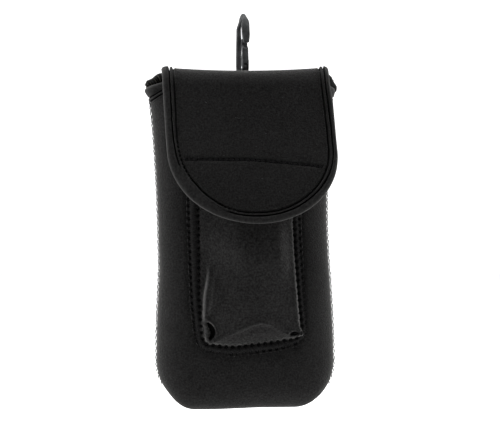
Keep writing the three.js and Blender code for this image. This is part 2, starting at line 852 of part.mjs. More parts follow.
const headBottom = barHeight + barRadius + tabWall + 3 * runningGap;
const crossBottom = headBottom + stemHeadHeight + runningGap;
const crossTop = crossBottom + crosspieceHeight;
const collarBottom = crossTop + runningGap;
const collarTop = collarBottom + collarHeight;
const openingBottom = collarTop + shoulderHeight;
const hookTop = collarTop + hookReach;
const noseTip = hookTop - noseDrop;
const roundSides = 20;

// Shapes are drawn in X and Z and lie about the plane Y = 0
function plateOf(shape, thickness, bevel) {
  const plate = new THREE.ExtrudeGeometry(shape, {
    depth: thickness - 2 * bevel,
    bevelEnabled: bevel > 0,
    bevelThickness: bevel,
    bevelSize: bevel,
    bevelOffset: -bevel,
    bevelSegments: 2,
    curveSegments: 8,
  });
  plate.rotateX(Math.PI / 2);
  plate.translate(0, thickness / 2 - bevel, 0);
  return solidOf(plate);
}

function rodAlongY(radius, length, x, z) {
  const rod = new THREE.CylinderGeometry(radius, radius, length, roundSides);
  return solidOf(rod.translate(x, 0, z));
}

function swivelEye() {
  const inner = eyeWindow / 2;
  const outer = inner + eyeArm;
  const low = barHeight - barRadius;
  const armTop = barHeight + barRadius + tabWall + 2 * runningGap;
  const throat = stemHeadRadius + 3 * runningGap;
  const frame = new THREE.Shape([
    new THREE.Vector2(-outer, low),
    new THREE.Vector2(-inner, low),
    new THREE.Vector2(-inner, armTop),
    new THREE.Vector2(-throat, crossBottom),
    new THREE.Vector2(throat, crossBottom),
    new THREE.Vector2(inner, armTop),
    new THREE.Vector2(inner, low),
    new THREE.Vector2(outer, low),
    new THREE.Vector2(outer, armTop + seatGap),
    new THREE.Vector2(crosspieceRadius, crossTop),
    new THREE.Vector2(-crosspieceRadius, crossTop),
    new THREE.Vector2(-outer, armTop + seatGap),
  ]);
  const bar = new THREE.CylinderGeometry(barRadius, barRadius, eyeWindow + eyeArm, roundSides);
  bar.rotateZ(Math.PI / 2).translate(0, 0, barHeight);
  const middle = (crossBottom + crossTop) / 2;
  const boss = new THREE.CylinderGeometry(
    crosspieceRadius,
    crosspieceRadius,
    crosspieceHeight,
    roundSides,
  );
  boss.rotateX(Math.PI / 2).translate(0, 0, middle);
  const hole = new THREE.CylinderGeometry(
    stemRadius + runningGap,
    stemRadius + runningGap,
    2 * crosspieceHeight,
    roundSides,
  );
  hole.rotateX(Math.PI / 2).translate(0, 0, middle);
  const eye = plateOf(frame, 2 * barRadius, hookBevel)
    .add(solidOf(bar))
    .add(solidOf(boss))
    .subtract(solidOf(hole));
  return geometryOf(eye);
}

const halfHook = hookWidth / 2;
const innerArc = halfHook - hookLimb;
const arcHeight = hookTop - halfHook;
const pivotRadius = pinRadius + pinWall;
const pivotX = halfHook - pivotRadius;
const shoulderTop = openingBottom - seatGap;
const pivotZ = shoulderTop + pivotRadius + runningGap;

function hookBody() {
  const outline = new THREE.Shape();
  outline.moveTo(-collarRadius, collarTop);
  outline.quadraticCurveTo(-halfHook, collarTop, -halfHook, openingBottom);
  outline.lineTo(-halfHook, arcHeight);
  outline.absarc(0, arcHeight, halfHook, Math.PI, 0, true);
  outline.lineTo(halfHook, noseTip + hookBevel);
  outline.lineTo(halfHook - hookBevel, noseTip);
  outline.lineTo(innerArc + hookBevel, noseTip);
  outline.lineTo(innerArc, noseTip + 2 * hookBevel);
  outline.lineTo(innerArc, arcHeight);
  outline.absarc(0, arcHeight, innerArc, 0, Math.PI, false);
  outline.lineTo(-innerArc, openingBottom + hookLimb);
  outline.quadraticCurveTo(-innerArc, openingBottom, -innerArc + hookLimb, openingBottom);
  outline.lineTo(pivotX - pivotRadius - 2 * runningGap, openingBottom);
  outline.lineTo(pivotX - pivotRadius, shoulderTop);
  outline.lineTo(halfHook - hookBevel, shoulderTop);
  outline.quadraticCurveTo(halfHook - hookBevel, collarTop, collarRadius, collarTop);
  const profile = [
    [0, headBottom],
    [stemHeadRadius - hookBevel, headBottom],
    [stemHeadRadius, headBottom + hookBevel],
    [stemHeadRadius, headBottom + stemHeadHeight],
    [stemRadius, headBottom + stemHeadHeight],
    [stemRadius, collarBottom],
    [collarRadius, collarBottom],
    [collarRadius, collarTop + hookBevel],
    [0, collarTop + hookBevel],
  ].map(([radius, z]) => new THREE.Vector2(radius, z));
  const stem = new THREE.LatheGeometry(profile, roundSides).rotateX(Math.PI / 2);
  const tongue = new THREE.Shape();
  tongue.absarc(pivotX, pivotZ, pivotRadius, 0, Math.PI, false);
  tongue.lineTo(pivotX - pivotRadius, shoulderTop - hookLimb / 2);
  tongue.lineTo(pivotX + pivotRadius - 2 * hookBevel, shoulderTop - hookLimb / 2);
  const body = plateOf(outline, hookThickness, hookBevel)
    .add(solidOf(stem))
    .add(plateOf(tongue, tongueThickness, 0))
    .subtract(rodAlongY(pinRadius + seatGap, hookThickness, pivotX, pivotZ));
  return geometryOf(body);
}

const gateTipX = innerArc - runningGap;
const gateTipZ = noseTip + gateOverlap;

function gateLever() {
  const outline = new THREE.Shape();
  outline.absarc(pivotX, pivotZ, pivotRadius, Math.PI, 2 * Math.PI, false);
  outline.lineTo(halfHook - hookBevel, noseTip - gateWidth);
  outline.lineTo(gateTipX, noseTip - 2 * runningGap);
  outline.lineTo(gateTipX, gateTipZ);
  outline.lineTo(gateTipX - gateTip, gateTipZ);
  outline.lineTo(gateTipX - gateTip, noseTip);
  outline.lineTo(halfHook - gateWidth - hookBevel, noseTip - 2 * gateWidth);
  const lever = new THREE.ExtrudeGeometry(outline, {
    depth: gateThickness,
    bevelEnabled: false,
    curveSegments: 10,
  });
  lever.rotateX(Math.PI / 2).translate(0, gateThickness / 2, 0);
  const position = lever.getAttribute("position");
  for (let i = 0; i < position.count; i += 1) {
    const up = clamp((position.getZ(i) - pivotZ) / (gateTipZ - pivotZ), 0, 1);
    const narrowing = lerp(1, gateTipThickness / gateThickness, up);
    position.setY(i, position.getY(i) * narrowing);
  }
  const slotThickness = tongueThickness + 2 * runningGap;
  const slotRadius = pivotRadius + runningGap;
  const below = boxBetween(
    new THREE.Vector3(pivotX - 2 * slotRadius, -slotThickness / 2, pivotZ - 2 * slotRadius),
    new THREE.Vector3(pivotX + 2 * slotRadius, slotThickness / 2, pivotZ),
  );
  const gate = solidOf(lever)
    .subtract(rodAlongY(slotRadius, slotThickness, pivotX, pivotZ))
    .subtract(solidOf(below))
    .subtract(rodAlongY(pinRadius + seatGap, hookThickness, pivotX, pivotZ));
  return geometryOf(gate);
}

const hookAngle = THREE.MathUtils.degToRad(hookTurn - 90);

function addHookPiece(name, geometry, finish, turned) {
  const piece = addPiece(name, geometry, finish);
  piece.position.set(hookX, barY, 0);
  piece.rotation.z = turned ? hookAngle : 0;
}

addHookPiece("swivel_eye", swivelEye(), "plastic", false);
addHookPiece("hook_body", hookBody(), "plastic", true);
addHookPiece("gate", gateLever(), "plastic", true);
addHookPiece("gate_pin", geometryOf(rodAlongY(pinRadius, gateThickness, pivotX, pivotZ)), "pin", true);

export default pouch;
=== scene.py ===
# Flash pouch: the dressed model, in metres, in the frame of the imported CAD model.
# The front is -Y, up is +Z. Lengths below are millimetres unless a name says otherwise.

import math
import random

import bpy
import numpy as np
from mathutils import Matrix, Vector
from mathutils.bvhtree import BVHTree


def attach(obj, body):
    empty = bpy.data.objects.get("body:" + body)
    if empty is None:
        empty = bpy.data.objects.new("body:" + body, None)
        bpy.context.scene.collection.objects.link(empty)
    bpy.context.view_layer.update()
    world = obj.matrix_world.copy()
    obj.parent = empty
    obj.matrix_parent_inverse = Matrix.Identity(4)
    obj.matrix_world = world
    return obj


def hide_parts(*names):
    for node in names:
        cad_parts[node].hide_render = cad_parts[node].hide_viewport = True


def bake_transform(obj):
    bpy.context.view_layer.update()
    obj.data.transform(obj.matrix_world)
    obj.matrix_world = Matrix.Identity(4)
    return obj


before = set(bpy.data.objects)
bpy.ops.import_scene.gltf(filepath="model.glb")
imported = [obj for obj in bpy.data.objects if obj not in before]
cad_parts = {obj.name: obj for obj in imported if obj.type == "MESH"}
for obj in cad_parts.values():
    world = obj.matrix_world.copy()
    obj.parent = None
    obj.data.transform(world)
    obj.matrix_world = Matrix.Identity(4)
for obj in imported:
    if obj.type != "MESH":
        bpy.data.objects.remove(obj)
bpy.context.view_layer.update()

MM = 0.001
CHANCE = random.Random(7)
QUARTER_TURN = math.pi / 2

# Body, the same shape as the solids
BODY_HEIGHT = 212
MOUTH_DIP = 4.5
HIP_HALF_WIDTH = 57.5
HIP_HEIGHT = 34
WAIST_HALF_WIDTH = 55
WAIST_HEIGHT = 120
MOUTH_HALF_WIDTH = 59.5
FRONT_DEPTH = 22
BACK_DEPTH = 14
SEAM_Y = 4
BODY_WALL = 3
CORNER_RUN = 26
CORNER_RISE = 32
FLAT_CORE = 20
CORE_BOTTOM = 56
SIDE_FLAT = 0.12
BASE_FLAT = 0.58
FACE_SQUARENESS = 2.15
SEAT_GAP = 0.3

# Flap
FLAP_HALF_WIDTH = 51.5
FLAP_WALL = 3
FOLD_OUTER = 10
BRIDGE_TOP = 218.2
FOLD_CENTRE_Z = 208.2
BACK_FOLD_Y = 8
FRONT_FOLD_Y = -15.5
FLAP_FRONT_Y = -25.5
FLAP_LEAN = 12
LEAN_LENGTH = 90
FOLD_LENGTH = QUARTER_TURN * FOLD_OUTER
BRIDGE_LENGTH = BACK_FOLD_Y - FRONT_FOLD_Y
FRONT_START = 2 * FOLD_LENGTH + BRIDGE_LENGTH
STRAIGHT_RUN = FRONT_START + 42.2
FLAP_ROUND = 44.2
EDGE_SWEEP = 5
EDGE_RISE = 2.5
FLAP_SKEW = 0.08  # how far the flap hangs over to its right, per length of its front
BRIDGE_MIDDLE = FOLD_LENGTH + BRIDGE_LENGTH / 2
NECK_RUN = 1.5  # where the back panel's sheet passes into the flap's

# Webbing and hook
HOOK_X = -1.6
BAR_Y = 30
BAR_HEIGHT = 200
BAR_RADIUS = 1.75


def spread(low, high, count):
    return np.linspace(low, high, count)


def lerp(a, b, share):
    return a + (b - a) * share


def smooth(value):
    share = np.clip(value, 0, 1)
    return share * share * (3 - 2 * share)


# From 0 at the start softly to 1 at the end of the run. A negative run goes downward.
def ease(value, start, run):
    return smooth((value - start) / run)


def hump(distance, width):
    return np.exp(-((distance / width) ** 2))


# The same hump round a place of its own
def hump_at(value, middle, width):
    return hump(value - middle, width)


def unit(vectors):
    return vectors / np.maximum(np.linalg.norm(vectors, axis=-1, keepdims=True), 1e-9)


WAVE_COUNT = 6


# A soft unevenness: a few long waves in seeded directions, between about -1 and 1
def waves(x, z, length, seed):
    chooser = random.Random(seed)
    total = np.zeros(np.broadcast(x, z).shape)
    for _ in range(WAVE_COUNT):
        direction = chooser.uniform(0, math.tau)
        phase = chooser.uniform(0, math.tau)
        stretch = length * chooser.uniform(0.6, 1.6)
        along = x * math.cos(direction) + z * math.sin(direction)
        total = total + np.sin(math.tau * along / stretch + phase)
    return total / math.sqrt(WAVE_COUNT)


# Distance of each point to a line of points, and how far along the line it lies
def path_distance(x, z, path):
    path = np.asarray(path, dtype=float)
    best = np.full(x.shape, 1e9)
    where = np.zeros(x.shape)
    walked = 0.0
    for start, reach in zip(path[:-1], np.diff(path, axis=0)):
        length = float(np.hypot(*reach))
        share = ((x - start[0]) * reach[0] + (z - start[1]) * reach[1]) / length**2
        share = np.clip(share, 0, 1)
        distance = np.hypot(x - start[0] - reach[0] * share, z - start[1] - reach[1] * share)
        closer = distance < best
        best = np.where(closer, distance, best)
        where = np.where(closer, walked + length * share, where)
        walked += length
    return best, where


def off_path(x, z, path):
    return path_distance(x, z, path)[0]


def lengths_along(path):
    return np.concatenate([[0], np.cumsum(np.linalg.norm(np.diff(path, axis=0), axis=1))])


def read_path(targets, lengths, path):
    return np.column_stack([np.interp(targets, lengths, column) for column in np.transpose(path)])


# A line of points redrawn at even steps
def even_path(path, step):
    path = np.asarray(path, dtype=float)
    lengths = lengths_along(path)
    count = max(int(round(lengths[-1] / step)), 1)
    return read_path(spread(0, lengths[-1], count + 1), lengths, path)


# A line of points rounded by a Catmull-Rom curve
def curved_path(path, per_span=8):
    path = np.asarray(path, dtype=float)
    ends = np.vstack([2 * path[0] - path[1], path, 2 * path[-1] - path[-2]])
    points = []
    for a, b, c, d in zip(ends, ends[1:], ends[2:], ends[3:]):
        for t in spread(0, 1, per_span + 1)[:-1]:
            points.append(
                0.5 * (2 * b + (c - a) * t + (2 * a - 5 * b + 4 * c - d) * t**2
                       + (3 * b - a - 3 * c + d) * t**3)
            )
    return np.array([*points, path[-1]])


# Mesh code

def grid_quads(rows, columns, first=0, flipped=False):
    index = first + np.arange(rows * columns).reshape(rows, columns)
    a, b, c, d = (corner.ravel() for corner in
                  (index[:-1, :-1], index[:-1, 1:], index[1:, 1:], index[1:, :-1]))
    return np.column_stack((a, d, c, b) if flipped else (a, b, c, d))


WELD_STEP = 1e-3


def weld(points, quads):
    keys = np.round(points / WELD_STEP).astype(np.int64)
    _, first, inverse = np.unique(keys, axis=0, return_index=True, return_inverse=True)
    return points[first], inverse.reshape(-1)[quads]


def vertex_normals(points, quads):
    diagonals = points[quads[:, 2:]] - points[quads[:, :2]]
    face = np.cross(diagonals[:, 0], diagonals[:, 1])
    normals = np.zeros_like(points)
    for k in range(4):
        np.add.at(normals, quads[:, k], face)
    return unit(normals)


# Gives a surface a wall behind it, with its edges closed
def thicken(points, quads, wall, settle=None):
    count = len(points)
    inner = points - vertex_normals(points, quads) * wall
    if settle is not None:
        inner = settle(inner, points)
    edges = np.vstack([quads[:, [k, (k + 1) % 4]] for k in range(4)])
    keys = edges[:, 0] * count + edges[:, 1]
    opposite = edges[:, 1] * count + edges[:, 0]
    border = edges[~np.isin(keys, opposite)]
    start, end = border[border[:, 0] != border[:, 1]].T
    walls = np.column_stack([end, start, start + count, end + count])
    return np.vstack([points, inner]), np.vstack([quads, quads[:, ::-1] + count, walls])


def new_object(name, points, faces, materials):
    mesh = bpy.data.meshes.new(name)
    mesh.from_pydata(np.asarray(points).tolist(), [], faces)
    for material in materials:
        mesh.materials.append(material)
    piece = bpy.data.objects.new(name, mesh)
    bpy.context.scene.collection.objects.link(piece)
    return piece


# A piece of the object. The kinds say which of its materials the first faces have.
def make_piece(name, shape, materials, body, replaced=(), kinds=()):
    points, faces = shape
    kinds = [*kinds] + [0] * (len(faces) - len(kinds))
    faces = [tuple(dict.fromkeys(int(i) for i in face)) for face in faces]
    kept = [i for i, face in enumerate(faces) if len(face) > 2]
    materials = materials if isinstance(materials, list) else [materials]
    piece = new_object(name, np.asarray(points) * MM, [faces[i] for i in kept], materials)
    piece.data.polygons.foreach_set("material_index", [int(kinds[i]) for i in kept])
    piece.data.validate()
    piece.data.shade_smooth()
    if body is not None:
        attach(piece, body)
    if replaced:
        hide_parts(*replaced)
    return piece


# Rings of points joined to a tube with closed ends, or to a closed ring
def ring_faces(rings, closed=False):
    count, around = rings.shape[:2]
    i = np.arange(count if closed else count - 1)[:, None]
    j = np.arange(around)[None, :]
    after = (i + 1) % count
    beside = (j + 1) % around
    corners = (i * around + j, i * around + beside, after * around + beside, after * around + j)
    faces = np.column_stack([corner.ravel() for corner in corners]).tolist()
    if not closed:
        faces.append(list(range(around))[::-1])
        faces.append(list(range((count - 1) * around, count * around)))
    return rings.reshape(-1, 3), faces


# A closed section swept along stations, each with a place and two directions.
# The section may be one list of points for all stations, or one list each.
def sweep(places, across, out, section):
    section = np.asarray(section, dtype=float)
    return ring_faces(
        np.asarray(places, dtype=float)[:, None, :]
        + section[..., 0:1] * np.asarray(across)[:, None, :]
        + section[..., 1:2] * np.asarray(out)[:, None, :]
    )


# Makes the faces of a closed shape look outward
def outward(points, faces):
    points = np.asarray(points)
    volume = 0.0
    for face in faces:
        for second, third in zip(face[1:], face[2:]):
            volume += float(np.dot(points[face[0]], np.cross(points[second], points[third])))
    if volume < 0:
        faces = [list(face)[::-1] for face in faces]
    return points, faces


def joined(shapes):
    faces = []
    first = 0
    for shape_points, shape_faces in shapes:
        faces.extend([[int(i) + first for i in face] for face in shape_faces])
        first += len(shape_points)
    return np.vstack([shape_points for shape_points, _ in shapes]), faces


# Directions along a line of points, with the given rough sideways direction made square to it
def frames_along(places, sideways):
    places = np.asarray(places, dtype=float)
    along = unit(np.gradient(places, axis=0))
    across = np.broadcast_to(np.asarray(sideways, dtype=float), places.shape)
    across = unit(across - along * np.sum(across * along, axis=1, keepdims=True))
    return along, across, np.cross(along, across)


def circle(count):
    angles = spread(0, math.tau, count + 1)[:-1]
    return np.column_stack([np.cos(angles), np.sin(angles)])


# One thread: a thin tube along a line, tapered at both ends
THREAD_TAPER = 8
THREAD_END = 0.35


def thread(places, radius, sides=6, sideways=(0.31, 0.57, 0.76)):
    _, across, out = frames_along(places, sideways)
    share = spread(0, 1, len(places))
    taper = np.clip(np.minimum(share, 1 - share) * THREAD_TAPER, THREAD_END, 1)
    return sweep(places, across, out, circle(sides) * radius * taper[:, None, None])


# Materials, all from nodes. Depths and pitches are in metres here.

def new_material(name):
    material = bpy.data.materials.new(name)
    material.use_nodes = True
    return material, material.node_tree


def place(tree, kind, inputs=None, settings=None):
    node = tree.nodes.new(kind)
    for key, value in (settings or {}).items():
        setattr(node, key, value)
    for key, value in (inputs or {}).items():
        if isinstance(value, bpy.types.NodeSocket):
            tree.links.new(value, node.inputs[key])
        else:
            node.inputs[key].default_value = value
    return node


# Fills the shader: sockets are linked, and plain values are set on its own sockets
def shaded(material, values):
    tree = material.node_tree
    shader = tree.nodes["Principled BSDF"]
    for key, value in values.items():
        if isinstance(value, bpy.types.NodeSocket):
            tree.links.new(value, shader.inputs[key])
        else:
            shader.inputs[key].default_value = value
    return material


def object_place(tree, scale=(1.0, 1.0, 1.0)):
    where = place(tree, "ShaderNodeTexCoord").outputs["Object"]
    return place(tree, "ShaderNodeMapping", {"Vector": where, "Scale": scale}).outputs["Vector"]


def noise_at(tree, where, scale, detail=2.0, roughness=0.5):
    inputs = {"Vector": where, "Scale": scale, "Detail": detail, "Roughness": roughness}
    return place(tree, "ShaderNodeTexNoise", inputs).outputs["Fac"]


def ramp(tree, factor, low, high, dark, light):
    node = place(tree, "ShaderNodeValToRGB", {"Fac": factor})
    for element, position, colour in zip(node.color_ramp.elements, (low, high), (dark, light)):
        element.position = position
        element.color = (*colour, 1.0)
    return node.outputs["Color"]


def spread_between(tree, factor, low, high):
    inputs = {"Value": factor, "To Min": low, "To Max": high}
    return place(tree, "ShaderNodeMapRange", inputs).outputs["Result"]


def soft_range(tree, value, start, end, low, high):
    inputs = {"Value": value, "From Min": start, "From Max": end, "To Min": low, "To Max": high}
    settings = {"interpolation_type": "SMOOTHSTEP"}
    return place(tree, "ShaderNodeMapRange", inputs, settings).outputs["Result"]


def bump(tree, height, distance, before=None, strength=1.0):
    inputs = {"Height": height, "Distance": distance, "Strength": strength}
    if before is not None:
        inputs["Normal"] = before
    return place(tree, "ShaderNodeBump", inputs).outputs["Normal"]


def tinted(tree, colour, factor, low, high):
    inputs = {"Vector": colour, "Scale": spread_between(tree, factor, low, high)}
    return place(tree, "ShaderNodeVectorMath", inputs, {"operation": "SCALE"}).outputs["Vector"]


FABRIC_SPECULAR = 0.04
FABRIC_UNEVENNESS = 0.08  # of its roughness
SHEEN_ROUGHNESS = 0.4
SHEEN_TINT = (0.93, 0.92, 0.9, 1.0)
KNIT_STRETCH = (1.0, 1.0, 0.72)  # the knit's loops are longer than they are wide
CLOUD_SCALE = 38.0


def fabric(name, dark, light, mottle=950.0, knit=1700.0, knit_depth=0.00012, roughness=0.9,
           sheen=0.17, grain=0.00035):
    material, tree = new_material(name)
    where = object_place(tree)
    flecks = noise_at(tree, where, mottle, 3.0, 0.65)
    colour = ramp(tree, flecks, 0.32, 0.68, dark, light)
    knit_inputs = {"Vector": object_place(tree, KNIT_STRETCH), "Scale": knit, "Smoothness": 0.6}
    cells = place(tree, "ShaderNodeTexVoronoi", knit_inputs, {"feature": "SMOOTH_F1"})
    normal = bump(tree, cells.outputs["Distance"], knit_depth)
    return shaded(material, {
        "Base Color": tinted(tree, colour, noise_at(tree, where, CLOUD_SCALE), 0.82, 1.18),
        "Roughness": spread_between(tree, flecks, roughness - FABRIC_UNEVENNESS,
                                    roughness + FABRIC_UNEVENNESS),
        "Normal": bump(tree, flecks, grain, normal),
        "Specular IOR Level": FABRIC_SPECULAR,
        "Sheen Weight": sheen,
        "Sheen Roughness": SHEEN_ROUGHNESS,
        "Sheen Tint": SHEEN_TINT,
    })


WAVE_SPAN = 3.1  # what a wave texture's scale has to be divided by for a pitch
WEBBING_SPECULAR = 0.4


def threads_across(tree, where, pitch, crowding, distortion, direction):
    inputs = {"Vector": where, "Scale": crowding / pitch / WAVE_SPAN, "Distortion": distortion}
    settings = {"wave_type": "BANDS", "bands_direction": direction}
    return place(tree, "ShaderNodeTexWave", inputs, settings).outputs["Fac"]


def woven(name, dark, light, pitch, sheen):
    material, tree = new_material(name)
    where = object_place(tree)
    warp = threads_across(tree, where, pitch, 1.0, 0.4, "X")
    weft = threads_across(tree, where, pitch, 1.4, 0.6, "Z")
    product = place(tree, "ShaderNodeMath", {0: warp, 1: weft}, {"operation": "MULTIPLY"})
    crossing = product.outputs["Value"]
    fibres = noise_at(tree, object_place(tree, (2.2, 2.2, 0.35)), 1500.0)
    colour = ramp(tree, crossing, 0.1, 0.8, dark, light)
    return shaded(material, {
        "Base Color": tinted(tree, colour, fibres, 0.75, 1.25),
        "Roughness": spread_between(tree, fibres, 0.55, 0.8),
        "Normal": bump(tree, fibres, 0.00008, bump(tree, crossing, 0.00035)),
        "Specular IOR Level": WEBBING_SPECULAR,
        "Sheen Weight": sheen,
    })


def moulded(name, dark, light, roughness, specular):
    material, tree = new_material(name)
    where = object_place(tree)
    clouds = noise_at(tree, where, 160.0, 3.0)
    grain = noise_at(tree, where, 2600.0)
    scuffs = noise_at(tree, object_place(tree, (1.0, 1.0, 0.2)), 900.0, 4.0, 0.7)
    return shaded(material, {
        "Base Color": ramp(tree, clouds, 0.3, 0.7, dark, light),
        "Roughness": spread_between(tree, scuffs, roughness - 0.1, roughness + 0.12),
        "Normal": bump(tree, clouds, 0.0002, bump(tree, grain, 0.00002), 0.5),
        "Specular IOR Level": specular,
    })


def metal(name, dark, light):
    material, tree = new_material(name)
    streaks = noise_at(tree, object_place(tree, (1.0, 1.0, 6.0)), 900.0, 3.0)
    return shaded(material, {
        "Base Color": ramp(tree, streaks, 0.2, 0.8, dark, light),
        "Roughness": spread_between(tree, streaks, 0.25, 0.45),
        "Normal": bump(tree, streaks, 0.00003),
        "Metallic": 1.0,
    })


NEOPRENE = fabric("neoprene_knit", (0.002, 0.002, 0.002), (0.0134, 0.0133, 0.0131))
POCKET_CLOTH = fabric("pocket_knit", (0.004, 0.004, 0.004), (0.0198, 0.0196, 0.0193),
                      mottle=800.0, grain=0.0004)
TAPE = fabric("edge_tape", (0.005, 0.005, 0.005), (0.0147, 0.0146, 0.0144), mottle=700.0,
              knit=2100.0, knit_depth=0.00008, roughness=0.82, sheen=0.12, grain=0.00016)
# Near-black cloth given to the bottoms of grooves, needle holes and hollows: painted shade.
GROOVE_SHADE = fabric("groove_painted_shade", (0.0012, 0.0012, 0.0013), (0.004, 0.004, 0.0042), sheen=0.0)
# Darker cloth for the sewn flange: partly the darker tone of its thread-covered hem, partly painted shade.
SEAM_CLOTH_AND_SHADE = fabric("sewn_cloth_and_shade", (0.002, 0.002, 0.002), (0.0085, 0.0084, 0.0082), mottle=800.0)
CLOSURE = fabric("closure_loops", (0.003, 0.003, 0.0033), (0.02, 0.02, 0.0205), mottle=1300.0,
                 knit=1500.0, knit_depth=0.0005, roughness=0.95, grain=0.0006)


def fibre(name, dark, light, roughness=0.7, sheen=0.17, knit_depth=0.00004, grain=0.00004):
    return fabric(name, dark, light, mottle=2400.0, knit=4000.0, knit_depth=knit_depth,
                  roughness=roughness, sheen=sheen, grain=grain)


THREAD = fibre("thread", (0.012, 0.012, 0.0125), (0.03, 0.03, 0.031), roughness=0.6)
DARK_THREAD = fibre("dark_thread", (0.002, 0.002, 0.0022), (0.009, 0.009, 0.0095), sheen=0.05)
PALE_THREAD = fibre("frayed_thread", (0.03, 0.026, 0.022), (0.11, 0.1, 0.088))
LINT = fibre("lint", (0.025, 0.025, 0.026), (0.075, 0.075, 0.078), roughness=0.9,
             knit_depth=0.00003, grain=0.00003)
WEBBING = woven("webbing_weave", (0.004, 0.004, 0.0045), (0.02, 0.02, 0.0215), 0.0016, 0.1)
PLASTIC = moulded("hook_plastic", (0.022, 0.0225, 0.023), (0.07, 0.072, 0.074), 0.5, 0.02)
STEEL = metal("pin_steel", (0.36, 0.37, 0.39), (0.6, 0.61, 0.63))


# Body shape

def half_width_at(z):
    hip = smooth((WAIST_HEIGHT - z) / (WAIST_HEIGHT - HIP_HEIGHT))
    rise = (z - WAIST_HEIGHT) / (BODY_HEIGHT - MOUTH_DIP - WAIST_HEIGHT)
    below = lerp(WAIST_HALF_WIDTH, HIP_HALF_WIDTH, hip)
    above = lerp(WAIST_HALF_WIDTH, MOUTH_HALF_WIDTH, rise * rise)
    return np.where(z < WAIST_HEIGHT, below, above)


FLAT_END = 1 / 6  # the share of a ring that lies square to the seam


# Points between the seam and the flat middle of a face, for arrays of equal shape
def panel_points(edge_x, edge_z, core_x, core_z, flat_share, depth, facing, share):
    angle = QUARTER_TURN * np.clip((share - FLAT_END) / (1 - FLAT_END), 0, 1)
    power = 2 / FACE_SQUARENESS
    rounded = flat_share + (1 - flat_share) * np.sin(angle) ** power
    forward = np.where(share > FLAT_END, rounded, flat_share * share / FLAT_END)
    inward = 1 - np.maximum(np.cos(angle), 0) ** power
    y = SEAM_Y + facing * (SEAT_GAP / 2 + (depth - SEAT_GAP / 2) * forward)
    parts = (lerp(edge_x, core_x, inward), y, lerp(edge_z, core_z, inward))
    return np.stack(np.broadcast_arrays(*parts), axis=-1)


SIDE_STEPS = 90
CORNER_STEPS = 22
BASE_STEPS = 30
RING_STEPS = 26
RING_CROWDING = 1.25


# The seam line from one side round the bottom to the other, and how far it turns underneath
def lower_edge():
    hip = float(half_width_at(np.array(CORNER_RISE)))
    angles = spread(0, QUARTER_TURN, CORNER_STEPS + 1)
    x = -hip + CORNER_RUN * (1 - np.cos(angles))
    z = CORNER_RISE * (1 - np.sin(angles))
    under = smooth(angles / QUARTER_TURN)
    base_half = hip - CORNER_RUN
    middle = spread(-base_half, base_half, BASE_STEPS + 1)[1:-1]
    edge_x = np.concatenate([x, middle, -x[::-1]])
    edge_z = np.concatenate([z, 0 * middle, z[::-1]])
    return edge_x, edge_z, np.concatenate([under, 0 * middle + 1, under[::-1]])


LOWER_X, LOWER_Z, LOWER_UNDER = lower_edge()
CORE_COLUMNS = spread(-FLAT_CORE, FLAT_CORE, len(LOWER_X))
RING_SHARES = spread(0, 1, RING_STEPS + 1) ** RING_CROWDING

MOUTH_DROOP = 3.4  # how far the front's rim hangs down at its two ends
MOUTH_LIFT = 1
UNDER_TURN = 16  # height over which the faces turn under the bag
UNDER_TUCK = 0.45
BODY_LEAN = 2.7  # how far the bag leans to its right towards the mouth
WAIST_PULL = 0.75  # how far the waist is drawn in on the left
RIGHT_PULL = 0.35
LEFT_CORNER_SIDE = 0.6  # how far the left corner is drawn in
LEFT_CORNER_RISE = 1.1  # and up
RIGHT_CORNER_RISE = 0.2
BASE_TILT = 1.4
BASE_SINK = 0.5
SWELL_LONG = 0.35
SWELL_SHORT = 0.09
# Where its uneven places lie, each as a start and a run, or for AT as a middle and a half-width
LEAN_SPAN = (25, 175)
RIGHT_SPAN, RIGHT_AT = (20, 30), (110, 45)
WAIST_SPAN, WAIST_AT = (25, 20), (86, 20)
LEFT_CORNER_SPAN, LEFT_CORNER_FALL = (35, 18), (22, -16)
RIGHT_CORNER_SPAN, RIGHT_CORNER_FALL = (18, 26), (34, -24)
TILT_SPAN, TILT_FALL = (-26, 46), (20, -16)
SINK_FALL = (15, -14)
DROOP_SPAN, LIFT_SPAN, RIM_RISE = (48.5, 11), (38, 10), (180, 26)
FACE_START = (0, 9)  # over which the swell sets in, away from the seam


# The whole bag leans a little to its right towards the mouth, and its corners are uneven
def drape_body(points):
    points = np.array(points, dtype=float)
    x, y, z = np.moveaxis(points, -1, 0).copy()
    left_corner = ease(-x, *LEFT_CORNER_SPAN) * ease(z, *LEFT_CORNER_FALL)
    points[..., 0] = (
        x - BODY_LEAN * ease(z, *LEAN_SPAN)
        - RIGHT_PULL * ease(x, *RIGHT_SPAN) * hump_at(z, *RIGHT_AT)
        + WAIST_PULL * ease(-x, *WAIST_SPAN) * hump_at(z, *WAIST_AT)
        + LEFT_CORNER_SIDE * left_corner
    )
    low = np.clip((UNDER_TURN - z) / UNDER_TURN, 0, 1)
    tuck = UNDER_TUCK * (1 - np.sqrt(1 - low * low))
    swell = waves(x, z, 70, 3) * SWELL_LONG + waves(x, z, 22, 5) * SWELL_SHORT
    face = np.where(y < SEAM_Y, -1, 1) * ease(np.abs(y - SEAM_Y), *FACE_START)
    points[..., 1] = SEAM_Y + (y - SEAM_Y) * (1 - tuck) + face * swell
    ends = MOUTH_DROOP * ease(np.abs(x), *DROOP_SPAN) - MOUTH_LIFT * ease(np.abs(x), *LIFT_SPAN)
    points[..., 2] = (
        z - np.where(y < SEAM_Y + 1, ends * ease(z, *RIM_RISE), 0)
        + RIGHT_CORNER_RISE * ease(x, *RIGHT_CORNER_SPAN) * ease(z, *RIGHT_CORNER_FALL)
        + LEFT_CORNER_RISE * left_corner
        + BASE_TILT * ease(x, *TILT_SPAN) * ease(z, *TILT_FALL)
        - BASE_SINK * ease(z, *SINK_FALL)
    )
    return points


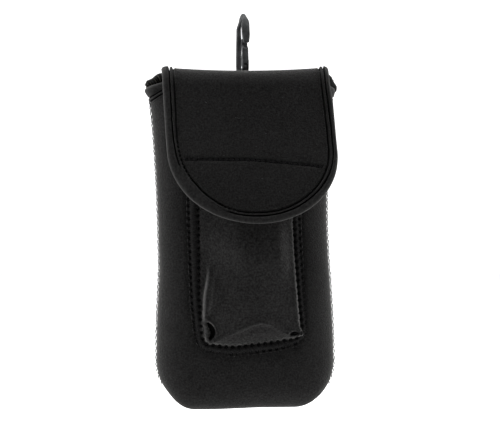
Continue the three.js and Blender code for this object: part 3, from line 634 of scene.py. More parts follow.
def panel_rows(depth, facing, crowding=1):
    down = spread(0, 1, SIDE_STEPS + 1) ** crowding
    edge_z = lerp(BODY_HEIGHT - MOUTH_DIP, CORNER_RISE, down)
    core_z = lerp(BODY_HEIGHT, CORE_BOTTOM, down)
    half = half_width_at(edge_z)
    left, right = (
        panel_points(side * half[:, None], edge_z[:, None], side * FLAT_CORE, core_z[:, None],
                     SIDE_FLAT, depth, facing, RING_SHARES[None, :])
        for side in (-1, 1)
    )
    middle_x, middle_z = np.meshgrid(CORE_COLUMNS[1:-1], core_z)
    middle_y = np.full(middle_x.shape, float(SEAM_Y + facing * depth))
    middle = np.stack([middle_x, middle_y, middle_z], axis=-1)
    return np.concatenate([left, middle, right[:, ::-1]], axis=1)


def panel_surface(depth, facing, rows):
    flat_share = lerp(SIDE_FLAT, BASE_FLAT, LOWER_UNDER)[:, None]
    lower = panel_points(LOWER_X[:, None], LOWER_Z[:, None], CORE_COLUMNS[:, None], CORE_BOTTOM,
                         flat_share, depth, facing, RING_SHARES[None, :])
    upper_quads = grid_quads(*rows.shape[:2], 0, facing < 0)
    lower_quads = grid_quads(*lower.shape[:2], rows.shape[0] * rows.shape[1], facing < 0)
    points = np.vstack([rows.reshape(-1, 3), lower.reshape(-1, 3)])
    return weld(points, np.vstack([upper_quads, lower_quads]))


# The inside of a panel doesn't pass the seam's plane
def settle_on_seam(inner, outer):
    on_seam = np.abs(outer[:, 1] - SEAM_Y) < SEAT_GAP
    behind = np.maximum(inner[:, 1], SEAM_Y + SEAT_GAP / 2)
    before = np.minimum(inner[:, 1], SEAM_Y - SEAT_GAP / 2)
    kept = np.where(outer[:, 1] > SEAM_Y, behind, before)
    inner[:, 1] = np.where(on_seam, outer[:, 1], kept)
    return inner


EASE_RUN = 24
FOLD_EASE = 3.4  # how far the front fold is drawn back, so that it runs softly into the front


# The outer face of the flap's sheet: x across, run from the back fold's lower end
def flap_point(x, run):
    x = np.asarray(x, dtype=float)
    run = np.asarray(run, dtype=float)
    edge = (x / FLAP_HALF_WIDTH) ** 2
    swept = EDGE_SWEEP * edge
    rise = EDGE_RISE * edge
    past_bridge = run - FOLD_LENGTH - BRIDGE_LENGTH
    back = np.clip(run, None, FOLD_LENGTH) / FOLD_OUTER
    over = np.clip((run - FOLD_LENGTH) / BRIDGE_LENGTH, 0, 1)
    fold = np.clip(past_bridge, 0, FOLD_LENGTH) / FOLD_OUTER
    down = np.clip(run - FRONT_START, 0, None)
    lean = FLAP_LEAN * (1 - np.cos(math.pi * np.clip(down / LEAN_LENGTH, 0, 1))) / 2
    stretches = [run < FOLD_LENGTH, run < FOLD_LENGTH + BRIDGE_LENGTH, run < FRONT_START]
    y = np.select(stretches, [
        BACK_FOLD_Y + FOLD_OUTER * np.cos(back) - swept,
        lerp(BACK_FOLD_Y - swept, FRONT_FOLD_Y + swept, over),
        FRONT_FOLD_Y - FOLD_OUTER * np.sin(fold) + swept,
    ], FLAP_FRONT_Y - lean + swept)
    z = np.select(stretches, [
        FOLD_CENTRE_Z + (FOLD_OUTER + rise) * np.sin(back),
        BRIDGE_TOP + rise,
        FOLD_CENTRE_Z + (FOLD_OUTER + rise) * np.cos(fold),
    ], FOLD_CENTRE_Z - down)
    eased = np.clip((FRONT_START + EASE_RUN - run) / (EASE_RUN + FOLD_LENGTH), 0, 1) ** 2
    y = y + FOLD_EASE * eased * smooth((run - BRIDGE_MIDDLE) / (BRIDGE_LENGTH / 2))
    skew = FLAP_SKEW * np.clip(past_bridge, 0, None)
    return np.stack([x + skew, y, z], axis=-1)


NORMAL_REACH = 0.2


def flap_normal(x, run):
    side = flap_point(x + NORMAL_REACH, run) - flap_point(x - NORMAL_REACH, run)
    down = flap_point(x, run + NORMAL_REACH) - flap_point(x, run - NORMAL_REACH)
    return unit(np.cross(down, side))


FLAP_SWELL_START = 20  # over which the swell sets in, below the front fold
FLAP_SWELL_LONG = 0.32
FLAP_SWELL_SHORT = 0.07


# The flap's soft unevenness, used by everything that lies on it
def flap_swell(x, run):
    far = ease(run, FOLD_LENGTH + BRIDGE_LENGTH, FLAP_SWELL_START)
    return far * (waves(x, run, 60, 11) * FLAP_SWELL_LONG + waves(x, run, 16, 12) * FLAP_SWELL_SHORT)


def on_flap(x, run, height=0):
    lift = (np.asarray(height, dtype=float) + flap_swell(x, run))[..., None]
    return flap_point(x, run) + flap_normal(x, run) * lift


# The cloth under the pocket is pressed in by its sewn flange
POCKET_SEAT_LEFT = ((0, -37.8), (34, -31.5), (45, -32.6), (74, -35.5), (148, -37.8))
POCKET_SEAT_RIGHT = ((0, 39.4), (50, 39.4), (74, 37.8), (104, 36.9), (148, 35.5))
POCKET_SEAT_BOTTOM = ((-32, 42), (-24.5, 37), (-8.5, 34.9), (6.8, 36.5), (22, 38.6), (33, 41.8), (39, 47))
POCKET_SEAT_TOP = 149
POCKET_PRESS = 2.1
PRESS_SPAN = (-1, 2.6)


def read_line(value, line):
    return np.interp(value, *zip(*line))


def pressed_seat(points):
    x, y, z = points.T
    inside = np.minimum.reduce([
        x - read_line(z, POCKET_SEAT_LEFT), read_line(z, POCKET_SEAT_RIGHT) - x,
        z - read_line(x, POCKET_SEAT_BOTTOM), POCKET_SEAT_TOP - z,
    ])
    pressed = POCKET_PRESS * ease(inside, *PRESS_SPAN) * (y < SEAM_Y - BODY_WALL)
    return np.column_stack([x, y + pressed, z])


# Front panel

MOUTH_INNER = 5.9  # from the mouth's rim down to its inner groove
MOUTH_SINK = 1.9
SINK_START, SINK_RUN = 0.2, 0.7  # past the inner groove
RIM_BACK = 1.4  # how far the front's rim is drawn back under the flap
RIM_DOWN = 2.2  # and down
RIM_NEAR, RIM_BACK_SPAN, RIM_DOWN_SPAN = (190, 18), (56, -12), (50, -9)
RIM_CROWDING = 1.6  # the rows of the front lie closer together towards its rim


def drawn_in(rows):
    across = np.abs(rows[..., 0])
    near_rim = ease(rows[..., 2], *RIM_NEAR)
    drawn = np.array(rows)
    drawn[..., 1] += RIM_BACK * near_rim * ease(across, *RIM_BACK_SPAN)
    drawn[..., 2] -= RIM_DOWN * near_rim * ease(across, *RIM_DOWN_SPAN)
    return drawn


def row_normals(rows):
    return unit(np.cross(np.gradient(rows, axis=0), np.gradient(rows, axis=1)))


# The cloth lies lower under the mouth's edging
def sunk_at_mouth(rows):
    steps = np.linalg.norm(np.diff(rows, axis=0), axis=2)
    below = np.concatenate([np.zeros((1, rows.shape[1])), np.cumsum(steps, axis=0)])
    sunk = MOUTH_SINK * (1 - smooth((below - MOUTH_INNER - SINK_START) / SINK_RUN))
    return rows - row_normals(rows) * sunk[:, :, None]


front_rows = drawn_in(panel_rows(FRONT_DEPTH, -1, RIM_CROWDING))
front_points, front_quads = panel_surface(FRONT_DEPTH, -1, front_rows)
front_tree = BVHTree.FromPolygons(drape_body(front_points).tolist(), front_quads.tolist())
sunk_points, sunk_quads = panel_surface(FRONT_DEPTH, -1, sunk_at_mouth(front_rows))
front_shape = thicken(pressed_seat(drape_body(sunk_points)), sunk_quads, BODY_WALL, settle_on_seam)
make_piece("front_panel_cloth", front_shape, NEOPRENE, "root", ["front_panel"])

LOOK_FROM = -90  # from where rays look back at the front


# The outer face of a surface, as y over x and z
def y_on(tree, x, z, otherwise):
    hit = tree.ray_cast(Vector((x, LOOK_FROM, z)), Vector((0, 1, 0)))[0]
    return hit.y if hit is not None else otherwise


def face_y(x, z):
    return y_on(front_tree, x, z, SEAM_Y)


# Back panel: its top goes on into the flap's neck

NECK_COLUMN = int(np.argmin(np.abs(RING_SHARES - 0.5)))
NECK_ROWS = 8
NECK_ROW_DROP = 1.9
NECK_RISE, NECK_SPAN = (175, 30), (54, -6)  # where the back keeps the neck's shape


def neck_row(top, run):
    count = len(top)
    neck_x = abs(top[NECK_COLUMN][0])
    corner = flap_point(FLAP_HALF_WIDTH, run)
    seam = top[0]
    squeeze = (FLAP_HALF_WIDTH - FLAT_CORE) / (neck_x - FLAT_CORE)
    new = np.array(top)
    for i in range(count):
        x = top[i][0]
        side = math.copysign(1, x)
        size = abs(x)
        if min(i, count - 1 - i) >= NECK_COLUMN:
            if size > FLAT_CORE:
                x = side * (FLAT_CORE + (size - FLAT_CORE) * squeeze)
            new[i] = flap_point(x, run)
            continue
        share = (size - neck_x) / (abs(seam[0]) - neck_x)
        new[i] = (
            side * lerp(corner[0], abs(seam[0]), share),
            lerp(corner[1], seam[1], share * share),
            lerp(corner[2], seam[2], share),
        )
    return new


back_rows = panel_rows(BACK_DEPTH, 1)
neck_top = neck_row(back_rows[0], NECK_RUN)
for level in range(NECK_ROWS):
    share = smooth(1 - level / NECK_ROWS)
    back_rows[level] = lerp(back_rows[level], neck_top + [0, 0, -NECK_ROW_DROP * level], share)
back_points, back_quads = panel_surface(BACK_DEPTH, 1, back_rows)
keep_top = ease(back_points[:, 2:3], *NECK_RISE) * ease(np.abs(back_points[:, 0:1]), *NECK_SPAN)
back_points = lerp(drape_body(back_points), back_points, keep_top)
back_shape = thicken(back_points, back_quads, BODY_WALL, settle_on_seam)
make_piece("back_panel_cloth", back_shape, NEOPRENE, "root", ["back_panel"])


# Flap edging: a rolled edge, a groove, a raised bead and a second groove.
# Each section point is (distance in from the sheet's edge, height over its outer face).

EDGE_TURN = 9
EDGE_STEP = 0.45
NOSE_REACH = 2.7
GROOVE_DEPTH = -1.8


def edge_section(inner, span, outer_groove, bead, nose, inner_groove=1, sheet_wall=FLAP_WALL, roll=1.3):
    outer = inner - span
    back = -sheet_wall
    points = [
        (inner + 2.3, -0.4),
        (inner + 1.8, 0.03),
        (inner + 1, 0.09),
        (inner + 0.75, -0.05),
        (inner + 0.6, GROOVE_DEPTH * inner_groove),
        (inner - 0.45, (GROOVE_DEPTH - 0.2) * inner_groove),
        (inner - 0.62, lerp(0.5, 0.15, bead)),
        (lerp(inner, outer, 0.36), lerp(0.92, 0.74, bead)),
        (lerp(inner, outer, 0.52), lerp(1.1, 0.86, bead)),
        (outer + 0.75, lerp(1.17, 0.7, outer_groove)),
        (outer + 0.55, lerp(1.2, 0.05, outer_groove)),
        (outer + 0.42, lerp(1.22, GROOVE_DEPTH, outer_groove)),
        (outer - 0.42, lerp(1.24, GROOVE_DEPTH, outer_groove)),
        (outer - 0.57, lerp(1.26, 0.2, outer_groove)),
        (outer - 0.85, lerp(1.28, 1, outer_groove)),
    ]
    thick = sheet_wall / 2 + roll
    first = min(nose, outer - 0.95)
    reach = first - nose + NOSE_REACH
    for turn in spread(0, math.pi, EDGE_TURN):
        points.append((first - reach * math.sin(turn), back / 2 + thick * math.cos(turn)))
    return points + [
        (first + 0.2, back - roll),
        (inner - 0.6, back - 0.9 * roll),
        (inner + 0.2, back - 0.5),
        (inner + 1.6, back - 0.02),
        (inner + 2.3, back + 0.4),
    ]


# Keys round the edge from the left of the bridge, down, round the D, and up again.
# Each has its place, the inner groove's distance, the distance from there to the outer groove,
# the outer groove's depth, the bead's height and how far in the rolled edge starts.
EDGE_KEYS = np.array([
    (0, 5.2, 2.7, 1, 1, 0.6),
    (0.2, 5.2, 2.7, 1, 1, 0.2),
    (0.38, 5.2, 2.7, 1, 1, 0),
    (0.5, 5.1, 2.7, 1, 1, -0.1),
    (0.75, 4.7, 2.6, 1, 1, -0.2),
    (0.9, 4.4, 2.2, 1, 1, -0.2),
    (1.03, 5.4, 2.1, 0.9, 0.9, -0.2),
    (1.1, 6.2, 2.1, 0.1, 0.2, -0.2),
    (1.2, 6.6, 2.1, 0, 0, -0.2),
    (1.31, 5.6, 2, 0, 0, 0.3),
    (1.37, 4.9, 2, 0.2, 0.3, 0.7),
    (1.42, 4.9, 2, 0.9, 0.8, 0.9),
    (1.5, 5.2, 1.95, 1, 1, 1),
    (1.62, 4.9, 1.95, 1, 1, 0.8),
    (1.75, 4.7, 2.1, 1, 1, 0.3),
    (1.9, 3.6, 2.5, 1, 1, -0.2),
    (2, 3, 2.75, 1, 1, -0.2),
    (2.2, 2.9, 2.75, 1, 1, -0.2),
    (2.45, 3.6, 2.75, 1, 1, -0.2),
    (2.64, 4.2, 2.75, 1, 1, 0.9),
    (3, 4.2, 2.75, 1, 1, 0.9),
])
RIB_PITCH = 1.9  # the small pleats of the rolled edge round the flap's lower end
DASHED = [(0.86, 1.16), (1.34, 1.43)]  # where the inner groove shows as dashes
DASH_PITCH = 3.1
DASH_FADE = 0.02
DASH_SHARE = 0.9
DASH_SPAN = (0.62, 0.14)
# The rolled edge: its size, a long swell, short wrinkles and fine ribs at its lowest point
ROLL = 1.3
ROLL_SWELL, SWELL_LENGTH = 0.12, 31
ROLL_WRINKLE, WRINKLE_LENGTH = 0.08, 2.9
ROLL_THINNER, THINNER_SPAN = 0.65, (1.16, 0.1)  # towards the bridge
ROLL_RIB, RIB_REACH = 0.07, 0.22
LOWEST_PLACE = 1.5


# Places run from 0 to 1 down one side, to 2 round the D, and to 3 up the other side
def edge_place(place):
    angle = (np.clip(place, 1, 2) - 1.5) * math.pi
    run = STRAIGHT_RUN + FLAP_ROUND * np.cos(angle)
    run = np.where(place < 1, lerp(BRIDGE_MIDDLE, STRAIGHT_RUN, place), run)
    run = np.where(place > 2, lerp(STRAIGHT_RUN, BRIDGE_MIDDLE, place - 2), run)
    return np.column_stack([FLAP_HALF_WIDTH * np.sin(angle), run])


def sweep_on_flap(line, inward, sections):
    sections = np.asarray(sections)
    across = line[:, None, :] + inward[:, None, :] * sections[:, :, 0:1]
    return ring_faces(on_flap(across[..., 0], across[..., 1], sections[:, :, 1]))


def dash_share(places, length):
    dashed = np.zeros(len(places))
    for low, high in DASHED:
        middle, half = (low + high) / 2, (high - low) / 2
        dashed = np.maximum(dashed, smooth((half - np.abs(places - middle)) / DASH_FADE))
    beat = 0.5 + 0.5 * np.cos(math.tau * length / DASH_PITCH)
    return 1 - dashed * DASH_SHARE * ease(beat, *DASH_SPAN)


# The edging between two places, with the depth of its outer and inner groove at each ring
def edging(low, high):
    fine_places = spread(low, high, 2000)
    fine_lengths = lengths_along(edge_place(fine_places))
    count = int(fine_lengths[-1] / EDGE_STEP)
    places = np.interp(spread(0, fine_lengths[-1], count), fine_lengths, fine_places)
    line = edge_place(places)
    along = unit(np.gradient(line, axis=0))
    inward = np.column_stack([along[:, 1], -along[:, 0]])
    length = lengths_along(line)
    keys = read_path(places, EDGE_KEYS[:, 0], EDGE_KEYS[:, 1:])
    inner_groove = dash_share(places, length)
    roll = ROLL + ROLL_SWELL * np.sin(math.tau * length / SWELL_LENGTH)
    roll = roll + ROLL_WRINKLE * np.sin(length / WRINKLE_LENGTH)
    roll = roll - ROLL_THINNER * ease(np.abs(places - LOWEST_PLACE), *THINNER_SPAN)
    ribs = ROLL_RIB * np.sin(math.tau * length / RIB_PITCH)
    roll = roll + ribs * hump_at(places, LOWEST_PLACE, RIB_REACH)
    sections = [edge_section(*keys[i], inner_groove[i], roll=roll[i]) for i in range(len(places))]
    return sweep_on_flap(line, inward, sections), keys[:, 2], inner_groove


def inner_groove_at(x, run):
    places = spread(0, 3, 500)
    line = edge_place(places)
    distance, along = path_distance(x, run, line)
    where = np.interp(along, lengths_along(line), places)
    return distance, np.interp(where, EDGE_KEYS[:, 0], EDGE_KEYS[:, 1])


# Flap sheets

SHEET_INSET = 3
SHEET_COLUMNS = 210
CROSS_ROW = [(-44.9, 102.4), (-23.4, 102.6), (-3.4, 102.8), (16.6, 104.3), (36.6, 106.3), (46, 107.9)]
CROSS_PITCH = 3.3
# The cross row's groove, deeper at each stitch, the dip round it, its lip and the painted shade along its
# bottom
CROSS_DEPTH, CROSS_BEAT, CROSS_HALF_WIDTH = 1.1, 0.7, 0.62
CROSS_DIP, CROSS_DIP_WIDTH = 0.4, 2.2
CROSS_LIP, CROSS_LIP_AT = 0.16, (1.9, 1)
CROSS_SHADE, CROSS_SHADE_BEAT, CROSS_SHADE_LEAST = 0.42, 0.3, 0.4
UNDER_EDGING, EDGING_SPAN = 1.9, (0.3, 0.8)  # how much lower the sheet lies under the edging
PIECE_GAP = 0.1  # between the bridge's sheet and the front's, each side of the bridge's middle
EDGE_END = 0.002  # how far the edging stops short of the first and last of its keys


def flap_height(x, run, off_row, along_row):
    distance, inner = inner_groove_at(x, run)
    beat = 0.5 + 0.5 * np.cos(math.tau * along_row / CROSS_PITCH)
    height = -UNDER_EDGING * (1 - ease(distance - inner, *EDGING_SPAN))
    height = height - (CROSS_DEPTH + CROSS_BEAT * beat) * hump(off_row, CROSS_HALF_WIDTH)
    return height - CROSS_DIP * hump(off_row, CROSS_DIP_WIDTH) + CROSS_LIP * hump_at(off_row, *CROSS_LIP_AT)


def flap_sheet(low_run, with_front):
    angles = spread(-QUARTER_TURN, QUARTER_TURN, SHEET_COLUMNS)
    top, bottom, levels = (low_run, FRONT_START, 26) if with_front else (NECK_RUN, low_run, 44)
    rows = [np.full(SHEET_COLUMNS, run) for run in spread(top, bottom, levels)]
    if with_front:
        end = STRAIGHT_RUN + (FLAP_ROUND - SHEET_INSET) * np.cos(angles)
        rows += [lerp(FRONT_START, end, share) for share in spread(0, 1, 190)[1:]]
    x = (FLAP_HALF_WIDTH - SHEET_INSET) * np.sin(angles)
    return np.broadcast_to(x, (len(rows), SHEET_COLUMNS)), np.array(rows)


def flap_piece(name, sheet, replaced):
    x, run = sheet
    off_row, along_row = path_distance(x, run, curved_path(CROSS_ROW))
    points = on_flap(x, run, flap_height(x, run, off_row, along_row)).reshape(-1, 3)
    flat_quads = grid_quads(*x.shape, 0, True)
    points, quads = weld(points, flat_quads)
    # Faces along the cross row get painted shade, wider at each stitch.
    shade_reach = CROSS_SHADE + CROSS_SHADE_BEAT * np.cos(math.tau * along_row / CROSS_PITCH)
    row_shade = (off_row < shade_reach).reshape(-1)[flat_quads].mean(axis=1) > CROSS_SHADE_LEAST
    return make_piece(name, thicken(points, quads, FLAP_WALL), [NEOPRENE, GROOVE_SHADE], None,
                      [replaced], row_shade)


bridge = flap_piece("flap_bridge_cloth", flap_sheet(BRIDGE_MIDDLE - PIECE_GAP, False), "flap_bridge")
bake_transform(bridge)
front = flap_piece("flap_front_cloth", flap_sheet(BRIDGE_MIDDLE + PIECE_GAP, True), "flap_front")
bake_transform(front)

CLOTH_FACES = 3  # the first faces of each ring are the flap's own cloth
INNER_GROOVE_FACES = (3, 4, 5)
OUTER_GROOVE_FACES = (10, 11, 12)
EDGE_MATERIALS = [NEOPRENE, TAPE, GROOVE_SHADE]


# Which of the edging's materials each face has. Deep grooves get painted shade; a shallow groove shows the
# tape.
def ring_kinds(rings, around, outer_grooves=None, inner_grooves=None):
    kinds = np.ones((rings, around), dtype=int)
    kinds[:, :CLOTH_FACES] = 0
    for faces, grooves, least in (
        (INNER_GROOVE_FACES, inner_grooves, 0.5), (OUTER_GROOVE_FACES, outer_grooves, 0.4),
    ):
        deep = np.ones(rings, dtype=bool) if grooves is None else grooves[:rings] >= least
        for face in faces:
            kinds[deep, face] = 2
    return kinds.ravel()


swept, outer_grooves, inner_grooves = edging(EDGE_END, 3 - EDGE_END)
points, faces = outward(*swept)
around = len(edge_section(*EDGE_KEYS[0, 1:]))
kinds = ring_kinds(len(points) // around - 1, around, outer_grooves, inner_grooves)
flap_edge = make_piece("flap_edge_tape", (points, faces), EDGE_MATERIALS, None,
                       ["flap_binding"], kinds)
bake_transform(flap_edge)

for side, name, key in ((-1, "left", EDGE_KEYS[0]), (1, "right", EDGE_KEYS[-1])):
    runs = spread(NECK_RUN + 1, BRIDGE_MIDDLE - PIECE_GAP, 60)
    line = np.column_stack([np.full_like(runs, side * FLAP_HALF_WIDTH), runs])
    inward = np.column_stack([np.full_like(runs, -side), 0 * runs])
    sections = [edge_section(*key[1:])] * len(runs)
    tape = make_piece(f"bridge_edge_tape_{name}", outward(*sweep_on_flap(line, inward, sections)),
                      EDGE_MATERIALS, None, [f"bridge_binding_{name}"],
                      ring_kinds(len(runs) - 1, around))
    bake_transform(tape)


# Front pocket: a bulging sheet with a sewn flange, folded corners and a loose lower wall

POCKET_TOP = 148
POCKET_WALL = 2
POCKET_EDGE = curved_path([
    (-37.8, 148), (-37.4, 130), (-37, 114), (-36.3, 94), (-35.5, 74), (-34, 57), (-32.6, 45.5),
    (-30.2, 40), (-24.5, 37), (-8.5, 34.9), (6.8, 36.5), (22, 38.6), (33, 41.8), (38.6, 45.6),
    (40.8, 51), (40.3, 60), (39, 74), (37.6, 92), (36.9, 104), (36.2, 118), (35.7, 132), (35.5, 148),
], 6)
ROW_INSET = 1.7  # the outer sewn row, in from the pocket's edge
HOLE_PITCH = 4.15
HOLE_DEPTH = 1.9
HOLE_RADIUS = 1.1
HOLE_REACH = 3

# Lines down the pocket as (height, x), and lines across it as (x, height)
EDGE_LEFT = [(40, -32), (45.5, -32.6), (57, -34), (74, -35.5), (94, -36.3), (114, -37), (148, -37.8)]
EDGE_RIGHT = [(44, 40.4), (50, 40.8), (60, 40.3), (74, 39), (92, 37.6), (104, 36.9), (118, 36.2),
              (148, 35.5)]
RIDGE_LEFT = [(43, -24), (48, -26.8), (56, -27.5), (65, -27.6), (75, -26.4), (87, -24.3), (95, -21.4),
              (102, -20.2), (112, -19.4), (148, -19)]
RIDGE_RIGHT = [(47, 36.5), (52, 35.9), (64, 33.2), (89, 32.1), (121, 30), (148, 29)]
SECOND_RIDGE = [(60, -23.5), (68, -21.3), (96, -18.8), (110, -17.4)]
ROW_SPREAD = [(46, -0.3), (70, -0.1), (112, 1.1)]
CREST = [(-32, 44.5), (-25, 44), (-19.5, 44.8), (-12, 48.4), (-4.4, 51.9), (5, 55.8), (10, 57.2),
         (16, 56.4), (24, 51.4), (29, 49.6), (36, 49.2)]
FOOT = [(-31, 45), (-24.5, 43), (-8.5, 41.3), (6.8, 42.8), (22, 44.6), (33, 46.8), (38, 49)]
# The pocket's lower edge, over the share of its width
LOWER_EDGE = [(0, 52), (0.012, 45.6), (0.035, 41), (0.1, 37.2), (0.33, 34.9), (0.53, 36.5), (0.74, 38.6),
              (0.9, 41.6), (0.965, 44.2), (0.99, 47.5), (1, 53)]

# The slit of the left folded corner with the band round it, and the lips of both folded corners
CURL_SLIT = curved_path([(-23.6, 56.4), (-21.7, 54.6), (-20.5, 51.8), (-20.5, 49.2), (-21.9, 46.9)])
CURL_BAND = curved_path([(-25.6, 63), (-26.5, 57), (-26.4, 51.5), (-25, 46.6)])
CURL_LIP = curved_path([
    (-25.6, 60.5), (-23, 58.6), (-20.2, 56.2), (-18.9, 52.2), (-19.4, 48.4), (-21.6, 46), (-24.4, 45.4),
])
TUCK_LIP = curved_path([
    (27, 50.2), (29.8, 52.4), (33.2, 52.2), (34.8, 49.6), (32.6, 47.9), (29.2, 48.2),
])
CREASE = curved_path([(-26.4, 59.3), (-23.5, 63), (-20.4, 67.2), (-17.2, 71.9), (-15.6, 77)])
# Folds that lie along lines: the line, how far it is shifted, its height and its half-width
FOLDS = [
    (CREASE, (0, 0), 0.85, 1.2),
    (CREASE, (1.5, -1.6), -0.7, 1.3),
    ([(-8, 58), (-19, 48)], (0, 0), 0.5, 1.3),
    (CURL_LIP, (0, 0), 2.2, 1),
    (TUCK_LIP, (0, 0), 0.85, 0.7),
]
# Ridges and hollows along a line: how far past it, the height and the half-width
LEFT_RIDGES = [(0.4, 1.1, 1.3), (4, -1.25, 2)]
SECOND_RIDGES = [(0, 0.75, 1.7)]
RIGHT_RIDGES = [(-1, 0.7, 1.6)]
CREST_RIDGES = [(0.5, 0.7, 1.9), (0.2, 0.9, 0.9)]
# Hollows past the crest: as before, with the middle and half-width of what they span across
CREST_HOLLOWS = [(-3, 0.8, 1.8, (6, 17)), (6, 0.9, 4, (9, 20))]
SECOND_START, LEFT_RIDGES_END = (60, 8), (112, -40)
FACE_WAVES = [(0.35, 30, 21), (0.12, 9, 22)]  # height, length and seed
SLIT_DEPTH, TUCK_DEPTH, KNOB_HEIGHT = 8, 6, 1.6
BAND_HEIGHT, BAND_WIDTH = 2, 1.5
# The hollow of the right folded corner and the knob beside it: place, size, turn, sharpness
TUCK_PIT = ((31.2, 50.2), (2.5, 1.15), 0.12, 1.6)
TUCK_KNOB = ((35.3, 51.5), (1.3, 2), 0, 1)


# The face's height off the body: low down, how much more higher up, and at its mouth
FACE_HEIGHT, FACE_HIGHER, MOUTH_HEIGHT = 9.6, 1.4, 5.6
HIGHER_SPAN, MOUTH_SPAN = (60, 45), (104, 20)
# The share of its height to which the face rises steeply, and the run of the rest
LEFT_STEEP, RIGHT_STEEP, FOOT_STEEP = 0.64, 0.62, 0.7
LEFT_RUN, RIGHT_RUN, FOOT_RUN = 26, 24, 30
LEAST_LEFT_RUN, LEAST_RIGHT_RUN = 2.8, 0.8
# Higher up the left side is loose and rises in one slope, and the right side is a little slack
LOOSE_SPAN, LOOSE_SLOPE = (76, 22), (-4, 32)
SLACK, SLACK_SPAN, SLACK_RUN = 0.4, (68, 40), 10
LEFT_FOOT, LEFT_FOOT_BULGE, LEFT_FOOT_AT = 1.3, 3.4, (90, 15)
RIGHT_FOOT, RIGHT_FOOT_BULGE, RIGHT_FOOT_AT = 2, 2, (48.5, 5)
RIGHT_WALL = 1.3  # how far past its foot the right side still stands up
FAR_SIDE = 40


# The inner row's distance from the outer one: wide on the left, narrow on the right
def row_apart(x, z):
    return 4.7 + ease(-x, 20, 9) * read_line(z, ROW_SPREAD) - 1.5 * ease(x, 25, 9)


def soft_line(z, line):
    return (read_line(z - 3, line) + 2 * read_line(z, line) + read_line(z + 3, line)) / 4


def rise(value, power=0.75):
    return np.sin(QUARTER_TURN * np.clip(value, 0, 1)) ** power


def pit(x, z, at, size, turn, sharpness):
    dx, dz = x - at[0], z - at[1]
    along = dx * math.cos(turn) + dz * math.sin(turn)
    over = -dx * math.sin(turn) + dz * math.cos(turn)
    return np.exp(-(((along / size[0]) ** 2 + (over / size[1]) ** 2) ** sharpness))


def curl_slit(x, z):
    distance, along = path_distance(x, z, CURL_SLIT)
    width = 0.95 + 0.85 * np.sin(math.pi * np.clip(along / 11, 0, 1))
    return np.exp(-((distance / width) ** 4))


# How far the sewn flange stands off the body's face
def flange_height(x, z):
    inset = off_path(x, z, POCKET_EDGE)
    flange = -0.35 + 0.9 * rise(inset / 2.4) + 0.6 * rise((inset - 3) / 4)
    inner_row = inset - ROW_INSET - row_apart(x, z)
    return flange - 0.4 * hump(inset - ROW_INSET, 0.9) - 0.5 * hump(inner_row, 0.9)


# The share of its full height that the pocket's face has, as it rises from its left side,
# from its right side, where it is steeper, and from its foot
def face_share(x, z, ridge_left, ridge_right, crest):
    left_foot = read_line(z, EDGE_LEFT) + ROW_INSET + row_apart(-FAR_SIDE, z)
    left_foot = left_foot + LEFT_FOOT + LEFT_FOOT_BULGE * hump_at(z, *LEFT_FOOT_AT)
    right_foot = read_line(z, EDGE_RIGHT) - ROW_INSET - row_apart(FAR_SIDE, z)
    right_foot = right_foot - RIGHT_FOOT + RIGHT_FOOT_BULGE * hump_at(z, *RIGHT_FOOT_AT)
    foot = read_line(x, FOOT)
    in_left = x - left_foot
    in_right = right_foot + RIGHT_WALL - x
    left_run = np.maximum(ridge_left - left_foot, LEAST_LEFT_RUN)
    right_run = np.maximum(right_foot + RIGHT_WALL - ridge_right, LEAST_RIGHT_RUN)
    from_left = LEFT_STEEP * rise(in_left / left_run, 1) + (1 - LEFT_STEEP) * smooth(in_left / LEFT_RUN)
    from_left = lerp(from_left, ease(in_left, *LOOSE_SLOPE), ease(z, *LOOSE_SPAN))
    from_right = RIGHT_STEEP * rise(in_right / right_run, 0.42)
    from_right = from_right + (1 - RIGHT_STEEP) * smooth(in_right / RIGHT_RUN)
    from_right = lerp(from_right, smooth(in_right / SLACK_RUN), SLACK * ease(z, *SLACK_SPAN))
    from_bottom = FOOT_STEEP * rise((z - foot) / np.maximum(crest - foot, 1), 0.9)
    from_bottom = from_bottom + (1 - FOOT_STEEP) * smooth((z - foot) / FOOT_RUN)
    return from_left * from_right * from_bottom


def ridges(distance, rows):
    return sum(height * hump(distance - past, width) for past, height, width in rows)


# Ridges and hollows of the face
def face_relief(x, z, ridge_left, ridge_right, crest):
    relief = ridges(x - ridge_left, LEFT_RIDGES)
    relief += ridges(x - soft_line(z, SECOND_RIDGE), SECOND_RIDGES) * ease(z, *SECOND_START)
    relief *= ease(z, *LEFT_RIDGES_END)
    relief += ridges(x - ridge_right, RIGHT_RIDGES) + ridges(z - crest, CREST_RIDGES)
    for past, depth, width, spanned in CREST_HOLLOWS:
        relief -= depth * hump(z - crest - past, width) * hump_at(x, *spanned)
    for height, length, seed in FACE_WAVES:
        relief += height * waves(x, z, length, seed)
    for line, shift, height, width in FOLDS:
        relief += height * hump(off_path(x - shift[0], z - shift[1], line), width)
    relief -= SLIT_DEPTH * curl_slit(x, z) + TUCK_DEPTH * pit(x, z, *TUCK_PIT)
    return relief + KNOB_HEIGHT * pit(x, z, *TUCK_KNOB)


# How far the pocket's outer face stands off the body's face
def pocket_height(x, z):
    lines = soft_line(z, RIDGE_LEFT), soft_line(z, RIDGE_RIGHT), read_line(x, CREST)
    full = lerp(FACE_HEIGHT + FACE_HIGHER * ease(z, *HIGHER_SPAN), MOUTH_HEIGHT, ease(z, *MOUTH_SPAN))
    face = (full + face_relief(x, z, *lines)) * face_share(x, z, *lines)
    face += BAND_HEIGHT * hump(off_path(x, z, CURL_BAND), BAND_WIDTH)
    return flange_height(x, z) + np.maximum(face, 0)


def holes_along(extra, offset):
    edge = even_path(POCKET_EDGE, 0.5)
    along = unit(np.gradient(edge, axis=0))
    inward = np.column_stack([-along[:, 1], along[:, 0]])
    inset = ROW_INSET + extra * row_apart(edge[:, 0], edge[:, 1])
    return even_path(edge + inward * inset[:, None], HOLE_PITCH / 2)[offset::2]


